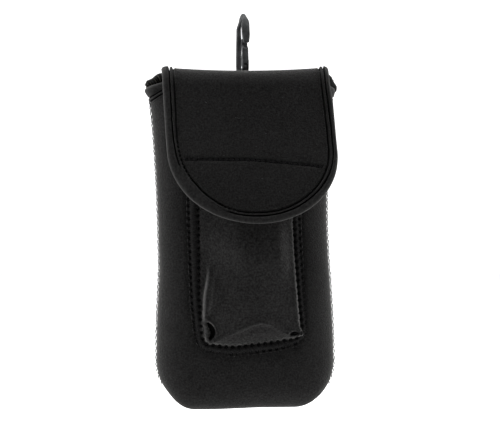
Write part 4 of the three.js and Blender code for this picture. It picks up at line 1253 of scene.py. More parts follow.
OUTER_HOLES = holes_along(0, 0)
INNER_HOLES = holes_along(1, 1)


def hole_depths(x, z):
    depth = np.zeros(x.shape)
    for at in np.vstack([OUTER_HOLES, INNER_HOLES]):
        near = (np.abs(x - at[0]) < HOLE_REACH) & (np.abs(z - at[1]) < HOLE_REACH)
        depth[near] += hump(np.hypot(x[near] - at[0], z[near] - at[1]), HOLE_RADIUS)
    return depth


POCKET_COLUMNS = 172
POCKET_ROWS = 250
across = spread(0, 1, POCKET_COLUMNS)
pocket_z = lerp(read_line(across, LOWER_EDGE)[None, :], POCKET_TOP, spread(1, 0, POCKET_ROWS)[:, None])
pocket_x = lerp(read_line(pocket_z, EDGE_LEFT), read_line(pocket_z, EDGE_RIGHT), across[None, :])
pocket_seat = np.array([face_y(x, z) for x, z in zip(pocket_x.ravel(), pocket_z.ravel())])
pocket_seat = pocket_seat.reshape(pocket_x.shape)
pocket_holes = hole_depths(pocket_x, pocket_z)
pocket_face = pocket_seat - pocket_height(pocket_x, pocket_z) + HOLE_DEPTH * pocket_holes
pocket_points = np.stack([pocket_x, pocket_face, pocket_z], axis=-1).reshape(-1, 3)
pocket_quads = grid_quads(POCKET_ROWS, POCKET_COLUMNS, 0, True)


INSIDE_DEPTH = 1.9
LEAST_WALL = 0.4


# The pocket's inside lies on the pressed cloth of the body, and never before its outside
def settle_pocket(inner, outer):
    inner[:, 1] = np.minimum(inner[:, 1], pocket_seat.reshape(-1) + INSIDE_DEPTH)
    inner[:, 1] = np.maximum(inner[:, 1], outer[:, 1] + LEAST_WALL)
    return inner


def quad_means(values):
    return values.reshape(-1)[pocket_quads].mean(axis=1)


# Painted shade: the needle holes, the slit and hollow of the folded corners and a band along the pocket's
# foot get near-black cloth.
FOOT_SHADE, FOOT_SHADE_FALL = 0.12, (54, -6)
SHADE_LEAST, SEAM_LEAST = 0.42, 0.6
SEAM_WIDTH, SEAM_BLUR = 1.3, 0.7
pocket_painted_shade = (
    pocket_holes + curl_slit(pocket_x, pocket_z) + pit(pocket_x, pocket_z, *TUCK_PIT)
    + FOOT_SHADE * ease(pocket_z, *FOOT_SHADE_FALL)
)
# The band between the sewn rows gets the darker seam cloth, partly painted shade.
seam_width = ROW_INSET + row_apart(pocket_x, pocket_z) + SEAM_WIDTH
seam_width = seam_width + SEAM_BLUR * waves(pocket_x, pocket_z, 4, 41)
in_seam = quad_means(off_path(pocket_x, pocket_z, POCKET_EDGE) < seam_width) > SEAM_LEAST
kinds = np.where(quad_means(pocket_painted_shade) > SHADE_LEAST, 1, np.where(in_seam, 2, 0))
make_piece("pocket_cloth", thicken(pocket_points, pocket_quads, POCKET_WALL, settle_pocket),
           [POCKET_CLOTH, GROOVE_SHADE, SEAM_CLOTH_AND_SHADE], "root", ["pocket"], kinds)
pocket_tree = BVHTree.FromPolygons(pocket_points.tolist(), pocket_quads.tolist())


def pocket_y(x, z):
    return y_on(pocket_tree, x, z, face_y(x, z))


ZIGZAG_SHARE = spread(0, 1, 8)
ZIGZAG_RADIUS = 0.21
ZIGZAG_LONGEST = 8
ZIGZAG_END = 0.06  # the share of its reach that a thread falls short of its holes
ZIGZAG_STRAY = 0.15
ZIGZAG_SINK = 0.75
ZIGZAG_BOW = 0.22
ZIGZAG_LOWEST, ZIGZAG_HIGHEST = 0.6, 1.2  # how far from the cloth halfway along it may lie


# Zigzag threads between the two rows of needle holes
def zigzag_thread(outer, inner):
    reach = inner - outer
    low = outer + reach * ZIGZAG_END + [CHANCE.uniform(-ZIGZAG_STRAY, ZIGZAG_STRAY), 0]
    high = outer + reach * (1 - ZIGZAG_END) + [CHANCE.uniform(-ZIGZAG_STRAY, ZIGZAG_STRAY), 0]
    x, z = (low + (high - low) * ZIGZAG_SHARE[:, None]).T
    depth = ZIGZAG_SINK * (1 - np.sin(math.pi * ZIGZAG_SHARE) ** 0.5)
    bow = np.interp(ZIGZAG_SHARE, [0, 0.5, 1], [0, -ZIGZAG_BOW, 0]) + depth
    middle = pocket_y(*(outer + reach * 0.5))
    y = [pocket_y(a, b) for a, b in zip(x, z)]
    y = np.clip(y, middle - ZIGZAG_HIGHEST, middle + ZIGZAG_LOWEST)
    return thread(np.column_stack([x, y + bow, z]), ZIGZAG_RADIUS, 5, (0, -1, 0))


zigzag = []
for outer, _ in zip(OUTER_HOLES, INNER_HOLES):
    for k in np.argsort(np.hypot(*(INNER_HOLES - outer).T))[:2]:
        if np.hypot(*(INNER_HOLES[k] - outer)) <= ZIGZAG_LONGEST:
            zigzag.append(zigzag_thread(outer, INNER_HOLES[k]))
make_piece("pocket_zigzag_thread", joined(zigzag), DARK_THREAD, "root")


# Hem over the pocket's top edge
def pocket_hem():
    inside = (pocket_x[0] > -24.5) & (pocket_x[0] < 29)
    middle_y = pocket_face[0][inside] + POCKET_WALL / 2
    middle = np.column_stack([pocket_x[0][inside], middle_y, 0 * middle_y + POCKET_TOP])[::2]
    _, across, _ = frames_along(middle, (0, -1, 0))
    up = np.broadcast_to([0, 0, 1], middle.shape)
    half = POCKET_WALL / 2 + SEAT_GAP
    section = [(half + 0.05, -5.4), (half + 0.75, -5), (half + 0.85, -3), (half + 0.3, -2.4),
               (half + 0.8, -1.8), (half + 0.9, -0.6), (half + 0.6, 0.5), (0.7, 1.2), (-0.7, 1.2),
               (-half - 0.6, 0.5), (-half - 0.9, -0.8), (-half - 0.8, -3), (-half - 0.6, -5),
               (-half - 0.1, -5.4), (-half, -5), (-half, 0.2), (half, 0.2), (half, -5)]
    return outward(*sweep(middle, across, up, section))


make_piece("pocket_hem_cloth", pocket_hem(), POCKET_CLOTH, "root", ["pocket_hem"])


# Hook-and-loop patches

PATCH_LEFT, PATCH_RIGHT, PATCH_BOTTOM, PATCH_TOP = -15.5, 20.5, 126, 138
PATCH_THICKNESS = 1.2
FLAP_PATCH_INSET = 6.6
FLAP_LENGTH = 86.4
FLAP_PATCH_HEIGHT = 38.2  # from the flap's lowest point to the patch's top edge
FLAP_PATCH_SIDE = 3  # the length of its straight sides
FRAY = 0.12
FLAP_FRAY = 0.1


def pocket_patch(columns, rows):
    x, z = np.meshgrid(spread(PATCH_LEFT, PATCH_RIGHT, columns), spread(PATCH_TOP, PATCH_BOTTOM, rows))
    y = np.array([pocket_y(a, b) for a, b in zip(x.ravel(), z.ravel())]).reshape(x.shape)
    inset = np.minimum.reduce([x - PATCH_LEFT, PATCH_RIGHT - x, z - PATCH_BOTTOM, PATCH_TOP - z])
    y = y - SEAT_GAP - PATCH_THICKNESS * rise((inset + 0.4) / 0.9) - FRAY * waves(x, z, 2.2, 31)
    points = np.stack([x, y, z], axis=-1).reshape(-1, 3)
    return thicken(points, grid_quads(rows, columns, 0, True), 1)


def flap_patch(columns, rows):
    top_run = FRONT_START + FLAP_LENGTH - FLAP_PATCH_HEIGHT
    round_run = FLAP_ROUND - FLAP_PATCH_INSET
    widest = math.acos((top_run + FLAP_PATCH_SIDE - STRAIGHT_RUN) / round_run)
    angles = spread(-widest, widest, columns)[None, :]
    shares = spread(0, 1, rows)[:, None]
    x = (FLAP_HALF_WIDTH - FLAP_PATCH_INSET) * np.sin(angles) + 0 * shares
    run = lerp(top_run, STRAIGHT_RUN + round_run * np.cos(angles), shares)
    height = -FLAP_WALL - SEAT_GAP - np.abs(FLAP_FRAY * waves(x, run, 2, 32))
    points, quads = weld(on_flap(x, run, height).reshape(-1, 3), grid_quads(rows, columns, 0, True))
    return thicken(points, quads, 1.1)


make_piece("pocket_closure_loops", pocket_patch(60, 24), CLOSURE, "root", ["pocket_closure"])
make_piece("flap_closure_hooks", flap_patch(90, 50), CLOSURE, "flap", ["flap_closure"])


# Cross row of stitches on the flap, sunk in its groove

CROSS_REACH = 0.42  # half a stitch, as a share of the pitch
CROSS_THREAD = 0.36
CROSS_SINK, CROSS_END_SINK = 0.25, 0.9


def flap_cross_stitches():
    line = even_path(curved_path(CROSS_ROW), CROSS_PITCH / 2)
    share = spread(-1, 1, 8)
    height = -CROSS_SINK - CROSS_END_SINK * np.abs(share) ** 3
    shapes = []
    for start, end in zip(line[:-2:2], line[2::2]):
        x, run = ((start + end) / 2 + (end - start) * CROSS_REACH * share[:, None]).T
        shapes.append(thread(on_flap(x, run, height), CROSS_THREAD))
    return joined(shapes)


make_piece("flap_cross_thread", flap_cross_stitches(), DARK_THREAD, "flap")


# Mouth edging: the same rolled edge, along the columns of a panel from its rim down

def strip_on_rows(rows, columns, sections):
    normals = row_normals(rows)
    rings = []
    for j, section in zip(columns, sections):
        line = rows[:, j]
        inset, height = section[:, 0], section[:, 1:]
        lengths = lengths_along(line)
        inside = np.maximum(inset, 0)
        up = unit(line[0] - line[2]) * np.maximum(-inset, 0)[:, None]
        normal = unit(read_path(inside, lengths, normals[:, j]))
        rings.append(read_path(inside, lengths, line) + up + normal * height)
    return outward(*ring_faces(np.array(rings)))


# Columns of the grid that are at least so far apart at the rim, with its first and last
def rim_columns(rim, least):
    chosen = [0]
    for j in range(1, len(rim)):
        if np.linalg.norm(rim[j] - rim[chosen[-1]]) > least:
            chosen.append(j)
    return [*chosen[:-1], len(rim) - 1]


# At the mouth's two ends the edging stands further out, most of all its rolled edge, and rises
EAR_OUT = 1.6
RIGHT_EAR_OUT = 0.5
EAR_OUT_BELOW = 0.3
EAR_RISE = 1.6
STAND_END = 0.8  # how far in from the inner groove the edging still stands out
EAR_SPAN, EAR_ROLL = (50, 8), (2.8, -2.2)  # each as a start and a run
TAPE_REACH = 2.35
MOUTH_NOSE = 0.8
MOUTH_STEP = 0.45  # between the sections of the tape round the mouth
MOUTH_ROLL, MOUTH_WRINKLE, MOUTH_WRINKLE_TURN = 1.35, 0.1, 0.37


def mouth_section(x, roll):
    section = edge_section(MOUTH_INNER, TAPE_REACH, 1, 1, MOUTH_NOSE, sheet_wall=BODY_WALL, roll=roll)
    inset, height = np.transpose(section)
    ear = ease(abs(x), *EAR_SPAN)
    rolled = ease(inset, *EAR_ROLL)
    outside = (inset < MOUTH_INNER + STAND_END) & (height > -BODY_WALL / 2)
    stand = lerp(EAR_OUT_BELOW, EAR_OUT if x < 0 else RIGHT_EAR_OUT, rolled) * outside
    return np.column_stack([inset - EAR_RISE * ear * rolled, height + ear * stand])


front_grid = drape_body(front_rows)
columns = rim_columns(front_grid[0], MOUTH_STEP)
rolls = MOUTH_ROLL + MOUTH_WRINKLE * np.sin(np.arange(len(columns)) * MOUTH_WRINKLE_TURN)
sections = [mouth_section(front_rows[0, column, 0], roll) for column, roll in zip(columns, rolls)]
make_piece("mouth_edge_tape", strip_on_rows(front_grid, columns, sections), EDGE_MATERIALS, "root",
           ["mouth_binding"], ring_kinds(len(columns) - 1, around))


# The back panel's corners: short tapes over the slope from the flap's edge to the side seam

# The tape's radius, its wrinkles, how it thins towards the seam, and its oval section
CORNER_TAPE = 2.3
CORNER_WRINKLE, CORNER_WRINKLE_TURN = 0.25, 9
CORNER_THINNER, CORNER_THIN_SPAN = 0.5, (0.8, 0.2)
CORNER_OVAL, CORNER_OVAL_DROP = 1.7, 0.15
RIGHT_CORNER_LOWER = 2.6


def corner_line(side):
    high = flap_point(side * (FLAP_HALF_WIDTH - 0.5), 5) + [side * 0.4, 0, -0.6]
    seam = drape_body([[side * MOUTH_HALF_WIDTH, SEAM_Y + 1.2, BODY_HEIGHT - MOUTH_DIP]])[0]
    low = RIGHT_CORNER_LOWER if side > 0 else 0
    return curved_path([
        high,
        lerp(high, seam, 0.35) + [side * 0.8, -0.4, 2.6],
        lerp(high, seam, 0.7) + [side * 1.1, -0.5, 1.6 - 0.5 * low],
        seam + [side * (1.3 - 0.3 * low), 0.4 - 0.3 * low, 0.7 - low],
    ], 9)


def corner_frames(line, side):
    return frames_along(line, (side * 0.55, 0.8, 0.1))[1:]


def corner_tape(side):
    line = corner_line(side)
    share = spread(0, 1, len(line))
    size = CORNER_TAPE + CORNER_WRINKLE * np.sin(share * CORNER_WRINKLE_TURN)
    size = size - CORNER_THINNER * ease(share, *CORNER_THIN_SPAN)
    ring = circle(14) * [1, CORNER_OVAL] - [0, CORNER_OVAL_DROP]
    return outward(*sweep(line, *corner_frames(line, side), ring * size[:, None, None]))


def chance_vector(*ranges):
    return np.array([CHANCE.uniform(low, high) for low, high in ranges])


def loose_thread(start, reach, bend, steps, radius):
    share = spread(0, 1, steps)[:, None]
    return thread(start + reach * share + bend * np.sin(math.pi * share), radius, 5)


# What the frayed threads are chosen from: outwards, back and up from the tape's line
FRAYED_START = ((-1.6, 1.6), (-1.5, 1.5), (-0.4, 1.5))
FRAYED_REACH = ((-0.6, 2.6), (-1.6, 1.6), (-0.9, 1.7))
FRAYED_BEND = ((-0.7, 0.7), (-0.7, 0.7), (-0.7, 0.7))
FRAYED_RADIUS = (0.13, 0.24)
FRAYED_COUNT = 44


def frayed_threads(side):
    line = corner_line(side)
    shapes = []
    for _ in range(FRAYED_COUNT):
        at = line[CHANCE.randrange(len(line))]
        start = at + chance_vector(*FRAYED_START)
        reach = chance_vector(*FRAYED_REACH) * [side, 1, 1]
        bend = chance_vector(*FRAYED_BEND)
        shapes.append(loose_thread(start, reach, bend, 7, CHANCE.uniform(*FRAYED_RADIUS)))
    return shapes


# The overcast threads: how far apart, from where to where they go round, and what they vary by
OVERCAST_STEPS = 12
OVERCAST_PITCH = 1.5
OVERCAST_START, OVERCAST_END = -0.6, 1.35 * math.pi
OVERCAST_RADIUS, OVERCAST_HIGHER, OVERCAST_DROP = 2.7, 1.1, 1.3
OVERCAST_WOBBLE = (-0.25, 0.25)
OVERCAST_WIDER = (-0.4, 0.45)
OVERCAST_LEAN = (0.2, 1.5)
OVERCAST_THREAD = (0.17, 0.32)


def overcast_threads(side):
    line = even_path(corner_line(side), OVERCAST_PITCH)
    across, out = corner_frames(line, side)
    turn = spread(OVERCAST_START, OVERCAST_END, OVERCAST_STEPS)[:, None]
    shapes = []
    for i in range(1, len(line)):
        wobble = CHANCE.uniform(*OVERCAST_WOBBLE)
        radius = OVERCAST_RADIUS + CHANCE.uniform(*OVERCAST_WIDER)
        lean = (line[i] - line[i - 1]) * CHANCE.uniform(*OVERCAST_LEAN)
        height = np.sin(turn) * radius * OVERCAST_HIGHER - OVERCAST_DROP
        places = (
            line[i] + across[i] * np.cos(turn) * radius + out[i] * height
            + lean * (spread(-0.5, 0.5, OVERCAST_STEPS) + wobble)[:, None]
        )
        shapes.append(thread(places, CHANCE.uniform(*OVERCAST_THREAD), 5))
    return shapes


# Specks of lint on the flap, short bent fibres: those that show, as (x, run, length), and others
LINT_SEEN = [(-7.2, 76.4, 3.6), (9.6, 86, 1.3), (22, 63, 1.1), (12, 133.5, 1.4), (-27, 66, 1.2)]
LINT_COUNT = 16
LINT_RANGES = ((-38, 38), (60, 132), (0.5, 1.1))
LINT_TURN = (-0.5, 0.5)
LINT_BEND = (-0.35, 0.35)
LINT_LIFT = 0.08
LINT_RADIUS = 0.062


def lint_specks():
    spots = LINT_SEEN + [chance_vector(*LINT_RANGES) for _ in range(LINT_COUNT)]
    share = spread(-0.5, 0.5, 7)
    shapes = []
    for x, run, length in spots:
        turn = CHANCE.uniform(*LINT_TURN)
        bend = CHANCE.uniform(*LINT_BEND) * length
        along = x + length * share * math.cos(turn)
        down = run + length * share * math.sin(turn) + bend * share * share * 2
        shapes.append(thread(on_flap(along, down, LINT_LIFT), LINT_RADIUS, 5))
    return joined(shapes)


make_piece("flap_lint", lint_specks(), LINT, "flap")

for side, name in ((-1, "left"), (1, "right")):
    make_piece(f"corner_tape_{name}", corner_tape(side), TAPE, "root",
               [f"back_binding_{name}"])
    overcast = overcast_threads(side)
    make_piece(f"corner_thread_{name}", joined(overcast[::2]), THREAD, "root")
    make_piece(f"frayed_thread_{name}", joined(overcast[1::2] + frayed_threads(side)),
               PALE_THREAD, "root")


# Side seams: flatlock stitches over the joint of the two panels, down to the lower corners

SEAM_PITCH = 2.1
SEAM_TOP = 203
SEAM_END = 15
SEAM_THREAD = 0.36
CORD_RADIUS = 0.5
CORD_TOP = 200
# Every other stitch is short, stands far out and slants the other way
SHORT_STITCH = (2.5, 0.9, 0.95)
LONG_STITCH = (3.1, 0.62, -0.95)
SLANT_RANGE = (-0.25, 0.25)
# What the loose ends at the lower corners are chosen from: outwards, back and up
TAIL_REACH = ((0.4, 1.9), (-1, 0.6), (-1.6, 0.9))
TAIL_BEND = ((-0.8, 0.8), (-0.8, 0.8), (-0.8, 0.8))
TAIL_START = ((-0.5, 0.5), (-1.2, 1.2), (-0.6, 0.6))
TAIL_RADIUS = 0.17
TAIL_COUNT = 5


def seam_stitches(side):
    shapes = []
    for k in range(int((SEAM_TOP - SEAM_END) / SEAM_PITCH) + 1):
        z = SEAM_TOP - SEAM_PITCH * k
        reach, rise_out, slope = SHORT_STITCH if k % 2 else LONG_STITCH
        half = float(half_width_at(np.array(max(z, CORNER_RISE))))
        if z < CORNER_RISE:
            half -= CORNER_RUN * (1 - math.cos(math.asin(1 - z / CORNER_RISE)))
        off_seam = spread(-reach, reach, 11)
        bulge = np.sqrt(np.clip(1 - (off_seam / (reach + 0.8)) ** 2, 0, 1))
        x = side * (half + rise_out * bulge - 0.5 * (1 - bulge))
        slant = spread(-1, 1, 11) * slope + CHANCE.uniform(*SLANT_RANGE)
        places = drape_body(np.column_stack([x, SEAM_Y + off_seam, z + slant]))
        shapes.append(thread(places, SEAM_THREAD, 6, (0, 0, 1)))
    return shapes


# The cord of thread that fills the groove between the panels, down the side and under the bag
def seam_cord(side):
    high = spread(CORD_TOP, CORNER_RISE, 90)[:-1]
    middle = len(LOWER_X) // 2
    x = np.concatenate([-half_width_at(high) + 0.3, LOWER_X[:middle + 1] + 0.15])
    z = np.concatenate([high, LOWER_Z[:middle + 1] + 0.35])
    places = drape_body(np.column_stack([-side * x, np.full(len(x), SEAM_Y), z]))
    return thread(places, CORD_RADIUS, 6, (0, 1, 0))


def thread_tails(side, at):
    shapes = []
    for _ in range(TAIL_COUNT):
        reach = chance_vector(*TAIL_REACH) * [side, 1, 1]
        bend = chance_vector(*TAIL_BEND)
        start = at + chance_vector(*TAIL_START)
        shapes.append(loose_thread(start, reach, bend, 8, TAIL_RADIUS))
    return shapes


for side, name, tail_at in ((-1, "left", (-45.6, 3.5, 8.6)), (1, "right", (49.8, 3.5, 13))):
    make_piece(f"side_seam_thread_{name}", joined([*seam_stitches(side), seam_cord(side)]), THREAD,
               "root")
    make_piece(f"seam_thread_tail_{name}", joined(thread_tails(side, tail_at)), PALE_THREAD, "root")


# Webbing on the back, as a strap in a plane square to X with softly rounded edges

STRAP_STEP = 0.8
STRAP_EDGE = 0.9  # how far in its rounding starts
RIB_HEIGHT = 0.05
RIB_WIDTH = 2.6
BEAT_HEIGHT = 0.06
BEAT_LENGTH = 3.4


def strap(line, width, wall, x, ripple=0):
    line = even_path(line, STRAP_STEP)
    places = np.column_stack([np.full(len(line), x), line])
    along, sideways, _ = frames_along(places, (1, 0, 0))
    columns = spread(-1, 1, 33)
    edge = np.clip((1 - np.abs(columns)) * width / 2 / STRAP_EDGE, 0, 1)
    half = wall / 2 * np.sqrt(np.clip(1 - (1 - edge) ** 2, 0.05, 1))
    ribs = RIB_HEIGHT * np.cos(columns * width / 2 * math.tau / RIB_WIDTH)
    section = np.vstack([
        np.column_stack([columns * width / 2, half + ribs]),
        np.column_stack([columns * width / 2, -half + ribs])[::-1],
    ])
    station = np.arange(len(places))
    wider = 1 + ripple * np.sin(station * 0.21)
    beat = BEAT_HEIGHT * np.sin(station * STRAP_STEP * math.tau / BEAT_LENGTH)
    sections = section * np.column_stack([wider, 0 * wider + 1])[:, None, :]
    sections[:, :, 1] += beat[:, None]
    return outward(*sweep(places, sideways, np.cross(sideways, along), sections))


BACK_FACE_Y = SEAM_Y + BACK_DEPTH
LOOP_SEAT_Y = BACK_FACE_Y + SEAT_GAP + 1
LOOP_BOTTOM, LOOP_TOP = 76, 168
LOOP_WIDTH, LOOP_WALL, LOOP_RIPPLE = 40, 2, 0.004
LOOP_SEWN, LOOP_RAMP, LOOP_STAND_OFF = 13, 10.5, 7


def belt_loop_line():
    share = spread(0, 1, 14)
    ramp_y = LOOP_SEAT_Y + LOOP_STAND_OFF * smooth(share)
    rising = np.column_stack([ramp_y, LOOP_BOTTOM + LOOP_SEWN + LOOP_RAMP * share])
    falling = np.column_stack([ramp_y, LOOP_TOP - LOOP_SEWN - LOOP_RAMP * share])[::-1]
    return np.vstack([(LOOP_SEAT_Y, LOOP_BOTTOM), rising, falling, (LOOP_SEAT_Y, LOOP_TOP)])


make_piece("belt_loop_webbing", strap(belt_loop_line(), LOOP_WIDTH, LOOP_WALL, 0, LOOP_RIPPLE),
           WEBBING, "root", ["belt_loop"])

TAB_WIDTH, TAB_WALL = 20, 1.8
TAB_BOTTOM, TAB_SEWN_TOP = 171, 184
WRAP_RADIUS = BAR_RADIUS + SEAT_GAP + TAB_WALL / 2
INNER_LAYER_Y = BACK_FACE_Y + SEAT_GAP + TAB_WALL / 2
OUTER_LAYER_Y = INNER_LAYER_Y + TAB_WALL + SEAT_GAP


def arc_points(centre, radius, start, end, count):
    turns = spread(start, end, count)
    return [(centre[0] + radius * math.cos(t), centre[1] + radius * math.sin(t)) for t in turns]


def hook_tab_line():
    lean = math.atan2(BAR_Y - (INNER_LAYER_Y + OUTER_LAYER_Y) / 2, BAR_HEIGHT - TAB_SEWN_TOP)
    return [
        (INNER_LAYER_Y, TAB_BOTTOM), (INNER_LAYER_Y, TAB_SEWN_TOP),
        *arc_points((BAR_Y, BAR_HEIGHT), WRAP_RADIUS, math.pi - lean, -lean, 26),
        (OUTER_LAYER_Y, TAB_SEWN_TOP), (OUTER_LAYER_Y, TAB_BOTTOM),
    ]


make_piece("hook_tab_webbing", strap(hook_tab_line(), TAB_WIDTH, TAB_WALL, HOOK_X), WEBBING, "root",
           ["hook_tab"])

STITCH_PITCH = 2.6
STITCH_RADIUS = 0.27
STITCH_LIFT = 0.18
STITCH_SINK = 0.35
STITCH_GAP = 0.14  # the share of the pitch that a stitch leaves free at each end


# A row of stitches from one point (x, z) to another, each of which rises off the webbing
def sewn_row(start, end, y):
    start, end = np.array([start[0], y, start[1]]), np.array([end[0], y, end[1]])
    count = max(int(float(np.linalg.norm(end - start)) / STITCH_PITCH), 1)
    share = spread(0, 1, 7)
    height = (STITCH_LIFT + STITCH_SINK) * np.sin(math.pi * share) ** 0.6 - STITCH_SINK
    shapes = []
    for k in range(count):
        low, high = (lerp(start, end, (k + at) / count) for at in (STITCH_GAP, 1 - STITCH_GAP))
        places = low + (high - low) * share[:, None] + np.outer(height, [0, 1, 0])
        shapes.append(thread(places, STITCH_RADIUS, sideways=(0, 1, 0)))
    return shapes


# Sewing on the webbing: a box with a cross in it
def box_and_cross(x, z, half_width, half_height, y):
    a, b, c, d = ((x + half_width * i, z + half_height * k) for i, k in ((-1, -1), (1, -1), (1, 1), (-1, 1)))
    rows = ((a, b), (b, c), (c, d), (d, a), (a, c), (b, d))
    return [shape for start, end in rows for shape in sewn_row(start, end, y)]


LOOP_BOX_FROM_END, LOOP_BOX = 6.8, (17.3, 4.4)
LOOP_BOX_Y = LOOP_SEAT_Y + 1.02
TAB_BOX_FROM_END, TAB_BOX = 6.6, (7.8, 4.6)
sewing = box_and_cross(0, LOOP_BOTTOM + LOOP_BOX_FROM_END, *LOOP_BOX, LOOP_BOX_Y)
sewing += box_and_cross(0, LOOP_TOP - LOOP_BOX_FROM_END, *LOOP_BOX, LOOP_BOX_Y)
sewing += box_and_cross(HOOK_X, TAB_BOTTOM + TAB_BOX_FROM_END, *TAB_BOX, OUTER_LAYER_Y + TAB_WALL / 2)
make_piece("webbing_stitches", joined(sewing), THREAD, "root")


# Swivel snap hook. It is drawn in X and Z about its own axis, then turned and moved behind the body.

HOOK_ANGLE = math.radians(11 - 90)
EYE_INNER = 11.5
EYE_OUTER = 14.5
ARM_TOP = 204.15
CROSS_BOTTOM = 206.35
CROSS_TOP = 210.85
CROSS_RADIUS = 4.7
EYE_THROAT = 4.5
STEM_RADIUS = 2.2
STEM_HEAD_RADIUS = 3.6
HEAD_BOTTOM = 204.45
COLLAR_RADIUS = 4.5
COLLAR_BOTTOM = 211.15
COLLAR_TOP = 213.35
OPENING_BOTTOM = 220.85
SHOULDER_TOP = 220.55
HALF_HOOK = 10.5
HOOK_LIMB = 3.9
SPINE_BOTTOM = 216
ARC_HEIGHT = 249.7
HALF_THICKNESS = 2.35
NOSE_TIP = 240
PIVOT_X = 7.6
PIVOT_Z = 223.75
PIVOT_RADIUS = 2.9
PIN_RADIUS = 1
GATE_TIP_X = 6.3
GATE_TIP_Z = 242.6
HALF_GATE = 2.2
HALF_SLOT = 1.15
OUTLINE_STEP = 0.45


def fine_outline(outline):
    closed = np.vstack([outline, outline[:1]])
    points = [closed[0]]
    for start, end in zip(closed[:-1], closed[1:]):
        count = max(int(math.ceil(np.linalg.norm(end - start) / OUTLINE_STEP)), 1)
        points += [start + (end - start) * k / count for k in range(1, count + 1)]
    return np.array(points[:-1])


# A plate with rounded edges about the plane Y = 0, or about another if it has an offset
def plate(outline, half_thickness, rounding, offset=0):
    line = fine_outline(np.asarray(outline, dtype=float))
    after = np.roll(line, -1, axis=0)
    if np.sum(line[:, 0] * after[:, 1] - after[:, 0] * line[:, 1]) < 0:
        line = line[::-1]
    along = unit(np.roll(line, -1, axis=0) - np.roll(line, 1, axis=0))
    inward = np.column_stack([-along[:, 1], along[:, 0]])
    half = half_thickness(line[:, 1]) if callable(half_thickness) else half_thickness + 0 * line[:, 0]
    turns = spread(0, QUARTER_TURN, 5)
    rings = []
    for side, turn in [*((-1, turn) for turn in turns), *((1, turn) for turn in turns[::-1])]:
        place_in = line + inward * rounding * (1 - math.sin(turn))
        y = side * (half - rounding * (1 - math.cos(turn)))
        rings.append(np.column_stack([place_in[:, 0], y + offset, place_in[:, 1]]))
    return outward(*ring_faces(np.array(rings)))


PIN_SIDES = 28


# A profile of (radius, height) turned about Z. A ring's profile closes on itself.
def turned_about_z(profile, sides=36):
    radii, heights = np.transpose(profile)
    ring = circle(sides)
    rings = [np.column_stack([ring * radius, 0 * ring[:, 0] + z]) for radius, z in zip(radii, heights)]
    return outward(*ring_faces(np.array(rings)))


# The same profile mirrored about the height 0, for a pin or a bar
def pin_shape(profile):
    return turned_about_z([(r, -z) for r, z in profile] + profile[::-1], PIN_SIDES)


def hook_place(points, turned):
    angle = HOOK_ANGLE if turned else 0
    x = points[:, 0] * math.cos(angle) - points[:, 1] * math.sin(angle)
    y = points[:, 0] * math.sin(angle) + points[:, 1] * math.cos(angle)
    return np.column_stack([x + HOOK_X, y + BAR_Y, points[:, 2]])


def hook_piece(name, shapes, material, body, replaced, turned=True):
    points, faces = joined(shapes)
    make_piece(name, (hook_place(points, turned), faces), material, body, [replaced])


# The limb goes up the spine, round the crown and down the nose. It is slightly warped:
# its reach to the left and right of its plane changes with the height.
SPINE_RISE = [216, 220, 226, 240, 250]
SPINE_LEFT = [2.35, 2.35, 2.95, 2.75, 2.6]
SPINE_RIGHT = [2.35, 2.2, 0.4, 0.6, 0.2]
NOSE_RISE = [240, 245, 250]
NOSE_LEFT = [1.3, 2, 2.35]
NOSE_RIGHT = [2.5, 3, 2.75]
CROWN_REACH = 0.9
CROWN_WARP = 0.06
LIMB_ROUNDING = 0.75
TIP_ABOVE = (0.55, 0.25, 0.08, 0)  # the last stations, over the nose's tip
TIP_SHRINK = (0.98, 0.92, 0.8, 0.55)


def limb_reach(x, z):
    rise, left, right, crown = (
        (SPINE_RISE, SPINE_LEFT, SPINE_RIGHT, 250) if x < 0
        else (NOSE_RISE, NOSE_LEFT, NOSE_RIGHT, 252.5)
    )
    over = ease(z, crown, 5)
    low = lerp(np.interp(z, rise, left), CROWN_REACH - CROWN_WARP * x, over)
    high = lerp(np.interp(z, rise, right), CROWN_REACH + CROWN_WARP * x, over)
    return low, high


def limb_section(low, high, shrink):
    middle = (high - low) / 2
    ring = []
    for corner, (sx, sy) in enumerate(((1, 1), (-1, 1), (-1, -1), (1, -1))):
        for turn in spread(0, QUARTER_TURN, 5):
            angle = turn + corner * QUARTER_TURN
            a = sx * ((high if sx > 0 else low) - LIMB_ROUNDING) + LIMB_ROUNDING * math.cos(angle)
            b = sy * (HOOK_LIMB / 2 - LIMB_ROUNDING) + LIMB_ROUNDING * math.sin(angle)
            ring.append((middle + (a - middle) * shrink, b * (0.5 + 0.5 * shrink)))
    return ring


def hook_limb():
    middle = HALF_HOOK - HOOK_LIMB / 2
    line = [(-middle, z) for z in spread(SPINE_BOTTOM, ARC_HEIGHT, 24)]
    line += arc_points((0, ARC_HEIGHT), middle, math.pi, 0, 40)[1:]
    line += [(middle, z) for z in spread(ARC_HEIGHT, NOSE_TIP + 0.9, 12)][1:]
    line += [(middle, NOSE_TIP + above) for above in TIP_ABOVE]
    places = np.array([(x, 0, z) for x, z in line])
    _, across, out = frames_along(places, (0, 1, 0))
    shrinks = [1] * (len(line) - len(TIP_SHRINK)) + [*TIP_SHRINK]
    rings = [limb_section(*limb_reach(x, z), shrink) for (x, z), shrink in zip(line, shrinks)]
    return outward(*sweep(places, across, out, rings))


# A curve from one point to another that leaves and arrives in line with its handle
def bowed(start, handle, end):
    share = spread(0, 1, 9)[1:, None]
    start, handle, end = np.array([start, handle, end], dtype=float)
    return [tuple(at) for at in lerp(lerp(start, handle, share), lerp(handle, end, share), share)]


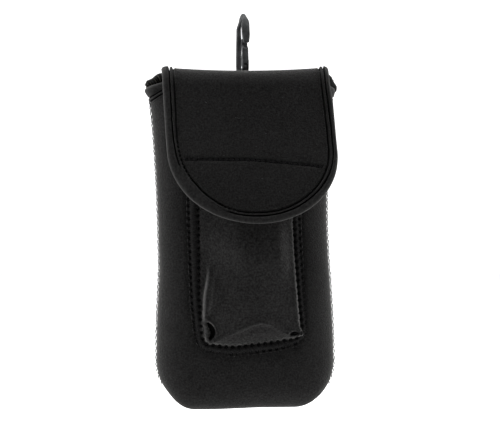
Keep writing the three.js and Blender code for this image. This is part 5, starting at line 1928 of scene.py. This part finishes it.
def hook_base():
    edge = HALF_HOOK - 0.6
    limb_top = OPENING_BOTTOM + HOOK_LIMB
    return plate([
        (-COLLAR_RADIUS, COLLAR_TOP),
        *bowed((-COLLAR_RADIUS, COLLAR_TOP), (-HALF_HOOK, COLLAR_TOP), (-HALF_HOOK, OPENING_BOTTOM)),
        (-HALF_HOOK, limb_top), (-HALF_HOOK + HOOK_LIMB, limb_top),
        *arc_points((-HALF_HOOK + 2 * HOOK_LIMB, limb_top), HOOK_LIMB, math.pi, 1.5 * math.pi, 8),
        (PIVOT_X - PIVOT_RADIUS - 0.6, OPENING_BOTTOM), (PIVOT_X - PIVOT_RADIUS, SHOULDER_TOP),
        (edge, SHOULDER_TOP),
        *bowed((edge, SHOULDER_TOP), (edge, COLLAR_TOP), (COLLAR_RADIUS, COLLAR_TOP)),
    ], HALF_THICKNESS, 0.7)


def hook_stem():
    profile = [(radius, HEAD_BOTTOM + rise) for radius, rise in (
        (0.2, 0), (STEM_HEAD_RADIUS - 0.8, 0), (STEM_HEAD_RADIUS - 0.25, 0.2), (STEM_HEAD_RADIUS, 0.7),
        (STEM_HEAD_RADIUS, 1.4), (STEM_HEAD_RADIUS - 0.2, 1.6), (STEM_RADIUS, 1.65),
    )]
    profile += [(radius, COLLAR_BOTTOM + rise) for radius, rise in (
        (STEM_RADIUS, -0.1), (STEM_RADIUS + 0.3, 0), (COLLAR_RADIUS - 0.5, 0),
        (COLLAR_RADIUS - 0.12, 0.15), (COLLAR_RADIUS, 0.5),
    )]
    profile += [(radius, COLLAR_TOP + rise) for radius, rise in (
        (COLLAR_RADIUS, -0.5), (COLLAR_RADIUS - 0.15, 0.1), (COLLAR_RADIUS - 0.6, 0.5), (0.2, 0.6),
    )]
    return turned_about_z(profile)


def hook_tongue():
    low = SHOULDER_TOP - 1.9
    outline = arc_points((PIVOT_X, PIVOT_Z), PIVOT_RADIUS, 0, math.pi, 16)
    return plate(outline + [(PIVOT_X - PIVOT_RADIUS, low), (PIVOT_X + PIVOT_RADIUS - 1.2, low)], 0.85, 0.15)


hook_piece("hook_body_moulding", [hook_limb(), hook_base(), hook_stem(), hook_tongue()], PLASTIC,
           "hook", "hook_body")


# The sprung gate: a fork at the pivot, a lever, and a narrow tip that reaches up behind the nose
def gate_half(z):
    return np.interp(z, [PIVOT_Z, NOSE_TIP - 3, GATE_TIP_Z], [HALF_GATE, 1.95, 2])


def gate_lever():
    front = HALF_HOOK - 0.6
    start = PIVOT_Z + 2.2
    back = GATE_TIP_X - 1.8
    return plate([
        (PIVOT_X - PIVOT_RADIUS, start), (PIVOT_X + PIVOT_RADIUS, start), (front, NOSE_TIP - 4),
        (front - 0.5, NOSE_TIP - 3.4), (GATE_TIP_X + 1.4, NOSE_TIP - 2.4),
        (GATE_TIP_X + 0.3, NOSE_TIP - 1.9), (GATE_TIP_X, NOSE_TIP - 1.2),
        (GATE_TIP_X, GATE_TIP_Z - 0.3), (GATE_TIP_X - 0.3, GATE_TIP_Z), (back + 0.3, GATE_TIP_Z),
        (back, GATE_TIP_Z - 0.3), (back, NOSE_TIP), (HALF_HOOK - 4, NOSE_TIP - 6.8),
    ], gate_half, 0.45)


def gate_cheek(side):
    top = PIVOT_Z + 4.5
    outline = arc_points((PIVOT_X, PIVOT_Z), PIVOT_RADIUS, math.pi, math.tau, 18)
    outline += [(PIVOT_X + PIVOT_RADIUS, top), (PIVOT_X - PIVOT_RADIUS, top)]
    half = (HALF_GATE - HALF_SLOT) / 2
    return plate(outline, half, 0.25, side * (HALF_SLOT + half))


def gate_pin():
    end = HALF_GATE + 0.02
    points, faces = pin_shape([(0.1, end + 0.12), (0.5, end + 0.09), (PIN_RADIUS - 0.12, end - 0.02),
                               (PIN_RADIUS, end - 0.2)])
    return outward(points[:, [0, 2, 1]] + [PIVOT_X, 0, PIVOT_Z], faces)


hook_piece("gate_moulding", [gate_lever(), gate_cheek(-1), gate_cheek(1)], PLASTIC, "gate",
           "gate")
hook_piece("gate_pin_steel", [gate_pin()], STEEL, "hook", "gate_pin")


# The swivel eye: two arms, a bar for the webbing, and a boss round the hook's stem
def eye_arm(side):
    low = BAR_HEIGHT - BAR_RADIUS
    high = CROSS_TOP - 0.2
    outline = [(EYE_OUTER - 0.5, low), (EYE_OUTER, low + 0.6), (EYE_OUTER, ARM_TOP - 0.1),
               (EYE_OUTER - 0.5, ARM_TOP + 0.7), (CROSS_RADIUS, high), (EYE_THROAT - 0.9, high),
               (EYE_THROAT - 0.9, CROSS_BOTTOM), (EYE_THROAT + 0.2, CROSS_BOTTOM),
               (EYE_INNER - 0.4, ARM_TOP + 0.1), (EYE_INNER, ARM_TOP - 0.6), (EYE_INNER, low + 0.6),
               (EYE_INNER + 0.5, low)]
    return plate([(side * x, z) for x, z in outline], BAR_RADIUS, 0.6)


def eye_boss():
    hole = STEM_RADIUS + 0.3
    lower = [(hole, 0.3), (hole + 0.3, 0), (CROSS_RADIUS - 0.6, 0), (CROSS_RADIUS - 0.15, 0.2),
             (CROSS_RADIUS, 0.6)]
    profile = np.array([(radius, CROSS_BOTTOM + rise) for radius, rise in lower]
                       + [(radius, CROSS_TOP - rise) for radius, rise in lower[::-1]])
    rings = [np.column_stack([np.outer(profile[:, 0], at), profile[:, 1]]) for at in circle(40)]
    return outward(*ring_faces(np.array(rings), closed=True))


def eye_bar():
    end = EYE_OUTER - 0.4
    points, faces = pin_shape([(0.2, end), (BAR_RADIUS - 0.5, end), (BAR_RADIUS, end - 0.5)])
    return outward(points[:, [2, 0, 1]] + [0, 0, BAR_HEIGHT], faces)


hook_piece("swivel_eye_moulding", [eye_arm(-1), eye_arm(1), eye_boss(), eye_bar()], PLASTIC, "eye",
           "swivel_eye", turned=False)


# Floor, light and camera. Lengths are in metres here.

FLOOR_HEIGHT = -0.0006  # the bag's lowest place
FLOOR_RADIUS = 2.4
DOME_RADIUS = 3.0
RIM_RADIUS = DOME_RADIUS - FLOOR_RADIUS  # of the turn from the floor up into the dome
DOME_RISE = 2.6
# The floor glows, most strongly round the bag, and so lights the bag from below.
NEAR_GLOW = 2.05
FLOOR_GLOW = 0.93
DOME_GLOW = 1.2
WHITE = (1.0, 1.0, 1.0, 1.0)


def emissive_floor(name, near_glow, glow):
    material, tree = new_material(name)
    clouds = noise_at(tree, object_place(tree), 3.0)
    length = place(tree, "ShaderNodeVectorMath", {0: object_place(tree)}, {"operation": "LENGTH"})
    return shaded(material, {
        "Base Color": ramp(tree, clouds, 0.2, 0.8, (0.3, 0.3, 0.302), (0.34, 0.34, 0.34)),
        "Roughness": 0.9,
        "Emission Color": WHITE,
        "Emission Strength": soft_range(tree, length.outputs["Value"], 0.05, 0.17, near_glow, glow),
    })


def stage_piece(name, profile, near_glow, glow):
    turns = circle(64)
    turns = np.vstack([turns, turns[:1]])
    rings = [np.column_stack([turns * r, np.full(len(turns), z + FLOOR_HEIGHT)]) for r, z in profile]
    quads = grid_quads(len(profile), len(turns), 0, True)
    material = emissive_floor(name, near_glow, glow)
    piece = new_object(name, np.vstack(rings), quads.tolist(), [material])
    piece.data.shade_smooth()
    return piece


# A round floor whose rim turns up into a pale dome. The dome is only a backdrop:
# light from the world passes through it.
dome_profile = [(FLOOR_RADIUS, 0.0)]
for angle in spread(0, QUARTER_TURN, 18)[1:]:
    dome_profile.append((FLOOR_RADIUS + RIM_RADIUS * math.sin(angle), RIM_RADIUS * (1 - math.cos(angle))))
for angle in spread(0, QUARTER_TURN - 0.02, 22)[1:]:
    dome_profile.append((DOME_RADIUS * math.cos(angle), RIM_RADIUS + DOME_RISE * math.sin(angle)))
floor_profile = [(radius, 0.0) for radius in (0.0005, 0.1, 0.3, 0.8, 1.6, FLOOR_RADIUS)]
stage_piece("studio_floor", floor_profile, NEAR_GLOW, FLOOR_GLOW)
dome = stage_piece("studio_dome", dome_profile, DOME_GLOW, DOME_GLOW)
dome.visible_diffuse = False
dome.visible_glossy = False
dome.visible_transmission = False
dome.visible_shadow = False

# The world is dimmer in front of the object than beside, above and behind it
world = bpy.data.worlds.new("studio")
bpy.context.scene.world = world
world.use_nodes = True
sky = world.node_tree
toward = place(sky, "ShaderNodeTexCoord").outputs["Generated"]
front_to_back = place(sky, "ShaderNodeSeparateXYZ", {"Vector": toward}).outputs["Y"]
background = sky.nodes["Background"]
background.inputs["Color"].default_value = WHITE
sky.links.new(soft_range(sky, front_to_back, -0.8, 0.25, 0.03, 0.15), background.inputs["Strength"])


def softbox(name, place_at, aim_height, size, power):
    light = bpy.data.lights.new(name, "AREA")
    light.shape = "RECTANGLE"
    light.size, light.size_y = size
    light.energy = power
    lamp = bpy.data.objects.new(name, light)
    bpy.context.scene.collection.objects.link(lamp)
    lamp.location = place_at
    toward = Vector((0.0, 0.0, aim_height)) - Vector(place_at)
    lamp.rotation_euler = toward.to_track_quat("-Z", "Y").to_euler()


softbox("side_left", (-1.1, 0.2, 0.3), 0.12, (0.6, 0.9), 30.0)
softbox("side_right", (1.1, 0.24, 0.3), 0.12, (0.6, 0.9), 25.5)
softbox("top", (-0.05, -0.05, 1.15), 0.15, (0.9, 0.5), 20.0)
softbox("top_front", (-0.1, -0.5, 1.1), 0.12, (0.7, 0.5), 1.0)

CAMERA_DISTANCE = 1.0
CAMERA_RIGHT = 0.00325
CAMERA_HEIGHT = 0.1258
FRAME_WIDTH = 0.325  # what the photograph's frame spans at the object
camera_data = bpy.data.cameras.new("camera")
camera_data.sensor_fit = "HORIZONTAL"
camera_data.angle = 2 * math.atan(FRAME_WIDTH / 2 / CAMERA_DISTANCE)
camera_data.clip_start = 0.01
camera = bpy.data.objects.new("camera", camera_data)
bpy.context.scene.collection.objects.link(camera)
camera.location = (CAMERA_RIGHT, -CAMERA_DISTANCE, CAMERA_HEIGHT)
camera.rotation_euler = (QUARTER_TURN, 0.0, 0.0)
bpy.context.scene.camera = camera
bpy.context.scene.view_settings.view_transform = "Standard"
